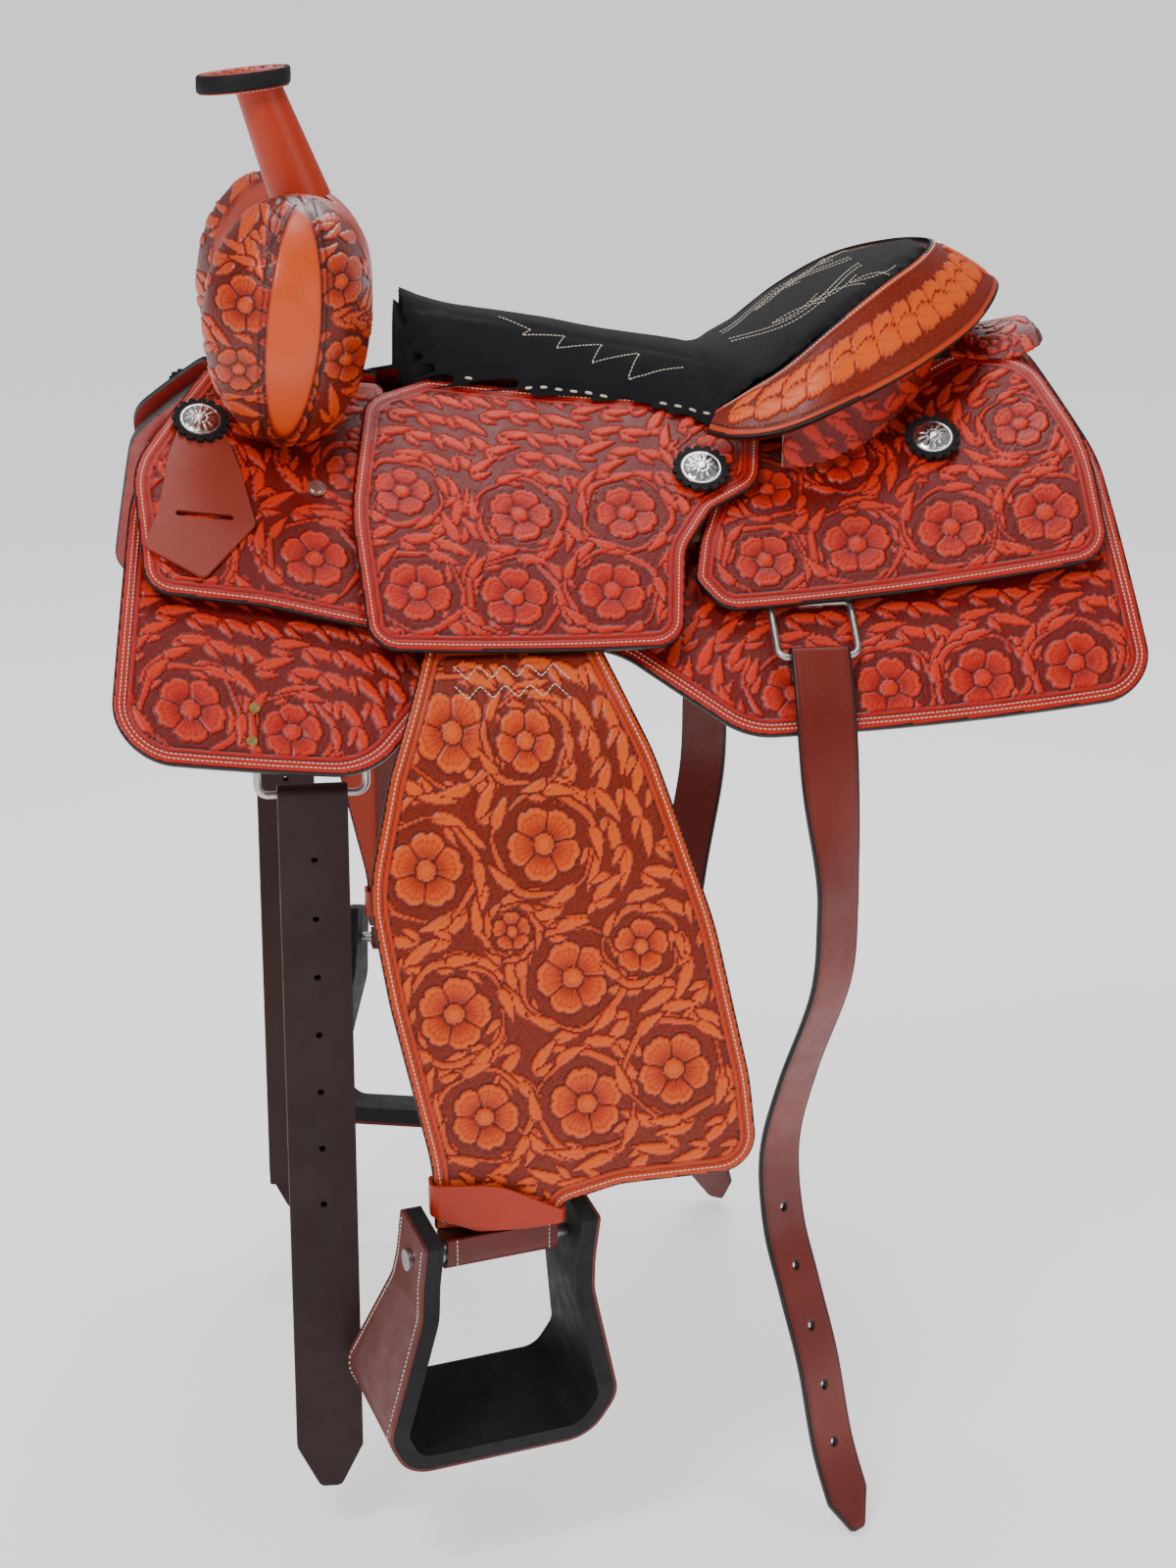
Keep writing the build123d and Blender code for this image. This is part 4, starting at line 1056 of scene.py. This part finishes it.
# ---- conchos -----------------------------------------------------------------------------------
def conchos():
    """Domed silver discs with engraved rays and a beaded edge."""
    rings, spokes = 30, 96
    r = np.linspace(0, 17.3, rings)[:, None] * np.ones((1, spokes))
    a = np.linspace(0, 2 * math.pi, spokes, endpoint=False)[None, :] * np.ones((rings, 1))
    dome = np.sqrt(45.0 ** 2 - r ** 2) - 45.0 + 5.2
    dome += 0.3 * np.cos(12 * a) * groove(r - 9, 3.2)
    dome += 0.35 * np.cos(48 * a) * groove(r - 15.6, 0.8)
    dome -= 0.6 * groove(r - 13.4, 0.6) + 0.5 * groove(r - 4.2, 0.6)
    local = np.stack([r * np.cos(a), r * np.sin(a), dome], -1)
    base = local[-1].copy()
    base[:, 2] = 2.9
    local = np.concatenate([local.reshape(-1, 3), base])
    quads = ring_quads(rings + 1, spokes)[:, [0, 3, 2, 1]]
    parts = []
    for curve, x, s in [(JOCKEY, -289, 93), (SEAT_JOCKEY, 79, 147), (JOCKEY, 260, 124)]:
        here = surface(curve, x, s, LEATHER)
        out = surface(curve, x, s, LEATHER + 1) - here
        aft = surface(curve, x + 1, s, LEATHER) - here
        aft /= np.linalg.norm(aft)
        up = np.cross(out, aft)
        parts.append((here + local @ np.stack([aft, up, out]), quads))
    verts, faces = join(parts)
    off_verts, off_faces = sided(-1, verts, faces)
    return join([(verts, faces), (off_verts, off_faces)])


add("conchos_engraved", conchos(), "saddle", SILVER, ["conchos"])


# ---- horn cap ----------------------------------------------------------------------------------
CAP = {"x": -247.0, "z": 236.0, "lean": math.radians(-6.0), "length": 34.0, "width": 30.0}


def cap_place(u, v, d):
    """Over the horn's cap: u fore and aft, v across, d above the cap plate."""
    u, v, d = grids(u, v, d)
    c, s = math.cos(CAP["lean"]), math.sin(CAP["lean"])
    crown = 1.5 * np.sqrt(np.clip(1 - (u / CAP["length"]) ** 2 - (v / CAP["width"]) ** 2, 0, 1))
    high = d + np.where(d > 5, crown, 0)
    return np.stack([CAP["x"] + u * c + high * s, v, CAP["z"] - u * s + high * c], -1)


def horn_cap():
    """The tooled cap, the black binding round it and the stitches under it."""
    turn = np.linspace(0, 2 * math.pi, 120, endpoint=False)
    oval = np.stack([CAP["length"] * np.cos(turn), CAP["width"] * np.sin(turn)], -1)
    data = cut_sheet(oval, cap_place, 4.5, tooled([(0, 0, 15)], 9, (0.0,)), top=8.9)
    add("horn_cap_tooled", data[:2], "saddle", TAN, ["horn_cap_top"], data[2])
    band = []
    for grow, high in ((0.2, -3.4), (1.3, -2.4), (1.6, 2.0), (1.4, 8.4), (0.4, 9.6), (-1.6, 9.5)):
        line = oval * (1 + grow / 32)
        band.append(cap_place(*line.T, 0) + np.array([0.0, 0.0, high]))
    quads = ring_quads(len(band), len(turn))
    add("horn_cap_binding", (np.concatenate(band), quads), "saddle", BLACK)
    low = oval * (1 - 3.5 / 32)
    spots = resample(low, 3.4)
    ahead = np.roll(spots, -1, axis=0)
    a = cap_place(*spots.T, -4.5)
    b = cap_place(*(spots + 0.72 * (ahead - spots)).T, -4.5)
    down = np.array([[0, 0, -1.0]] * len(a))
    add("horn_cap_thread", tube_row(a, b, down, 0.45, 0.2), "saddle", THREAD)


horn_cap()


# ---- rear billet: one smooth strap that twists as it hangs -------------------------------------
WIRE = np.array([150.0, -229.8, -159.2])
DOWN, OUT = np.array([0, -0.682, -0.731]), np.array([0, -0.731, 0.682])
TWIST = math.radians(38)
WAVE = [(0, -250), (7, -300), (9, -340), (4, -400), (-26, -480), (-42, -541),  # away, height
        (-37, -600), (-20, -650), (0, -705), (18, -775), (46, -838)]


def billet_knots():
    """The strap's middle line: round the dee's wire, then down in a wave."""
    fold, bend = 5.4, 3.8
    knots = [WIRE - fold * OUT + 18 * DOWN, WIRE - fold * OUT + 7 * DOWN, WIRE - fold * OUT,
             WIRE - bend * OUT - bend * DOWN, WIRE - fold * DOWN,
             WIRE + bend * OUT - bend * DOWN, WIRE + fold * OUT,
             np.array([150, -247.5, -175.0]), np.array([150, -262.0, -203.0])]
    for away, z in WAVE:
        knots.append(np.array([152 + away * math.sin(TWIST), -272 - away * math.cos(TWIST), z]))
    return np.array(knots)


def billet_place():
    """The strap as place(u, v, d), with its middle line and the length run along it."""
    dense = spline(billet_knots(), np.linspace(0, len(WAVE) + 8, 1600))
    run = line_run(dense)

    def at(v):
        return np.stack([np.interp(v, run, dense[:, k]) for k in range(3)], -1)

    def place(u, v, d):
        u, v, d = grids(u, v, d)
        middle = at(v)
        along = unit(at(v + 1) - at(v - 1))
        share = np.clip((-200 - middle[..., 2]) / 130, 0, 1)
        turn = TWIST * share * share * (3 - 2 * share)
        across = np.stack([np.cos(turn), np.sin(turn), 0 * turn], -1)
        across = unit(across - along * np.sum(across * along, -1)[..., None])
        out = np.cross(along, across)
        return middle + across * u[..., None] + out * d[..., None]
    return place, run, dense


def billet_relief(u, v, dist):
    return 0.1 * np.sin(v * 0.05) - 0.45 * groove(dist - 3, 0.7)


def rear_billets():
    """The long rear straps, each with a pointed tip and five holes."""
    place, run, dense = billet_place()
    half, length = 22, float(run[-1])
    shape = rounded([(-half, 0, 2), (half, 0, 2), (half, length - 30, 8), (7, length - 3, 5),
                     (-7, length - 3, 5), (-half, length - 30, 8)])
    below = dense[:, 2] < -300
    heights = 590 + 45 * np.arange(5)
    spots = np.interp(heights, -dense[below, 2], run[below])
    holes = [(0, float(spot), 2.6) for spot in spots]
    verts, faces, cut = cut_sheet(shape, place, LEATHER, billet_relief, holes, top=LEATHER / 2)
    for side, sign in SIDES:
        add(f"rear_billet_strap_{side}", (verts, faces), f"{side}_rear_billet", BILLET,
            [f"rear_billet_{side}"], cut, sign)


rear_billets()


# ---- stitched straps ---------------------------------------------------------------------------
STIRRUP = {"x": -100.0, "y": -324.5, "z": -566.0, "turn": math.radians(16), "tilt": math.radians(15)}
HOOP = [(-57, 60, 0), (57, 60, 0), (57, -36, 60), (80, -128, 20), (66, -156, 20),
        (-66, -156, 20), (-80, -128, 20), (-57, -36, 60)]


def hung(points, tilt):
    """Directions of the upright stirrup, turned as it hangs on the near side."""
    c, s = math.cos(tilt), math.sin(tilt)
    x, y, z = points[..., 0], points[..., 1], points[..., 2]
    y, z = y * c - z * s, y * s + z * c
    c, s = math.cos(STIRRUP["turn"]), math.sin(STIRRUP["turn"])
    return np.stack([x * c - y * s, x * s + y * c, z], -1)


def hung_stitches(starts, ends, ups, tilt, radius, bulge):
    middle = np.array([STIRRUP["x"], STIRRUP["y"], STIRRUP["z"]])
    return tube_row(middle + hung(starts, tilt), middle + hung(ends, tilt), hung(ups, tilt),
                    radius, bulge)


def stirrup_stitching():
    """Two rows of stitches round each stirrup's cover, near its edges."""
    grown = rounded(HOOP, 1.0)
    dense = resample(grown, 3.6)
    along = unit(np.roll(dense, -1, axis=0) - np.roll(dense, 1, axis=0))
    out = np.stack([along[:, 1], -along[:, 0]], -1) * turning(grown)
    path = dense + out * 11.75
    good = path[:, 1] < 24
    path, along, out = path[good], along[good], out[good]
    depth = np.interp(-path[:, 1], [10, 120], [25, 46]) - 4.5
    ups = np.stack([out[:, 0], 0 * depth, out[:, 1]], -1)
    length = np.stack([along[:, 0], 0 * depth, along[:, 1]], -1) * 2.6
    parts = []
    for edge in (-1, 1):
        starts = np.stack([path[:, 0], edge * depth, path[:, 1]], -1)
        parts.append(hung_stitches(starts, starts + length, ups, STIRRUP["tilt"], 0.55, 0.3))
    return join(parts)


def loop_stitching():
    """Two upright rows of stitches on the loop that holds the stirrup."""
    parts = []
    for edge in (-36.0, 36.0):
        z = np.arange(-6, 12, 3.4)
        starts = np.stack([np.full(len(z), edge), np.full(len(z), -11.4), z], -1)
        ups = np.zeros_like(starts) + np.array([0, -1.0, 0])
        parts.append(hung_stitches(starts, starts + np.array([0, 0, 2.5]), ups, 0.0, 0.5, 0.2))
    return join(parts)


for side, sign in SIDES:
    add(f"stirrup_thread_{side}", stirrup_stitching(), f"{side}_stirrup", THREAD, sign=sign)
    add(f"loop_thread_{side}", loop_stitching(), f"{side}_loop", THREAD, sign=sign)


# ---- stage, light and camera -------------------------------------------------------------------
def stage():
    """A wide pale floor a little under the lowest strap."""
    reach, floor_z = 40.0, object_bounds()[0].z - 0.004
    corners = ((-1, -1), (1, -1), (1, 1), (-1, 1))
    verts = [(x * reach, y * reach, floor_z) for x, y in corners]
    pale = plain("pale_floor", (0.93, 0.93, 0.92), (0.9, 0.9, 0.89), (0.8, 0.95), 3, 0.02)
    shader = pale.node_tree.nodes["Principled BSDF"]
    shader.inputs["Emission Color"].default_value = (1.0, 1.0, 1.0, 1.0)
    shader.inputs["Emission Strength"].default_value = 0.8
    floor = mesh_object("floor", np.array(verts) / MM, [(0, 1, 2, 3)], None, pale)
    floor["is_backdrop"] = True


def lamp(name, place, target, size, power):
    """A soft rectangular light that looks at a target."""
    data = bpy.data.lights.new(name, "AREA")
    data.shape = "RECTANGLE"
    data.size, data.size_y = size
    data.energy = power
    obj = bpy.data.objects.new(name, data)
    bpy.context.scene.collection.objects.link(obj)
    obj.location = place
    obj.rotation_mode = "QUATERNION"
    obj.rotation_quaternion = (Vector(target) - Vector(place)).to_track_quat("-Z", "Y")
    obj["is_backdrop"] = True


def camera():
    """Near side, a little in front of the saddle's middle and looking down on it."""
    data = bpy.data.cameras.new("camera")
    data.sensor_fit = "HORIZONTAL"
    data.sensor_width = 36.0
    data.lens = 95.16
    data.clip_end = 50.0
    obj = bpy.data.objects.new("camera", data)
    bpy.context.scene.collection.objects.link(obj)
    obj.location = (-0.322, -2.3766, 0.422)
    obj.rotation_euler = (math.radians(90 - 17.2), 0, math.radians(-8))
    bpy.context.scene.camera = obj


def sky():
    """Weak cool light from all round."""
    world = bpy.data.worlds.new("studio")
    world.use_nodes = True
    background = world.node_tree.nodes["Background"]
    background.inputs["Color"].default_value = (0.93, 0.95, 1.0, 1.0)
    background.inputs["Strength"].default_value = 0.3
    bpy.context.scene.world = world


stage()
sky()
lamp("key", (-1.3, -2.0, 2.3), (0, -0.1, -0.1), (1.0, 1.0), 56)
lamp("fill", (2.2, -2.4, 1.0), (0, 0, -0.3), (1.6, 1.6), 14)
lamp("top", (0.2, 0.3, 2.4), (0, 0, 0), (1.2, 1.2), 26)
lamp("rear", (0.6, 2.0, 1.6), (0, 0, -0.1), (1.2, 1.2), 22)
camera()
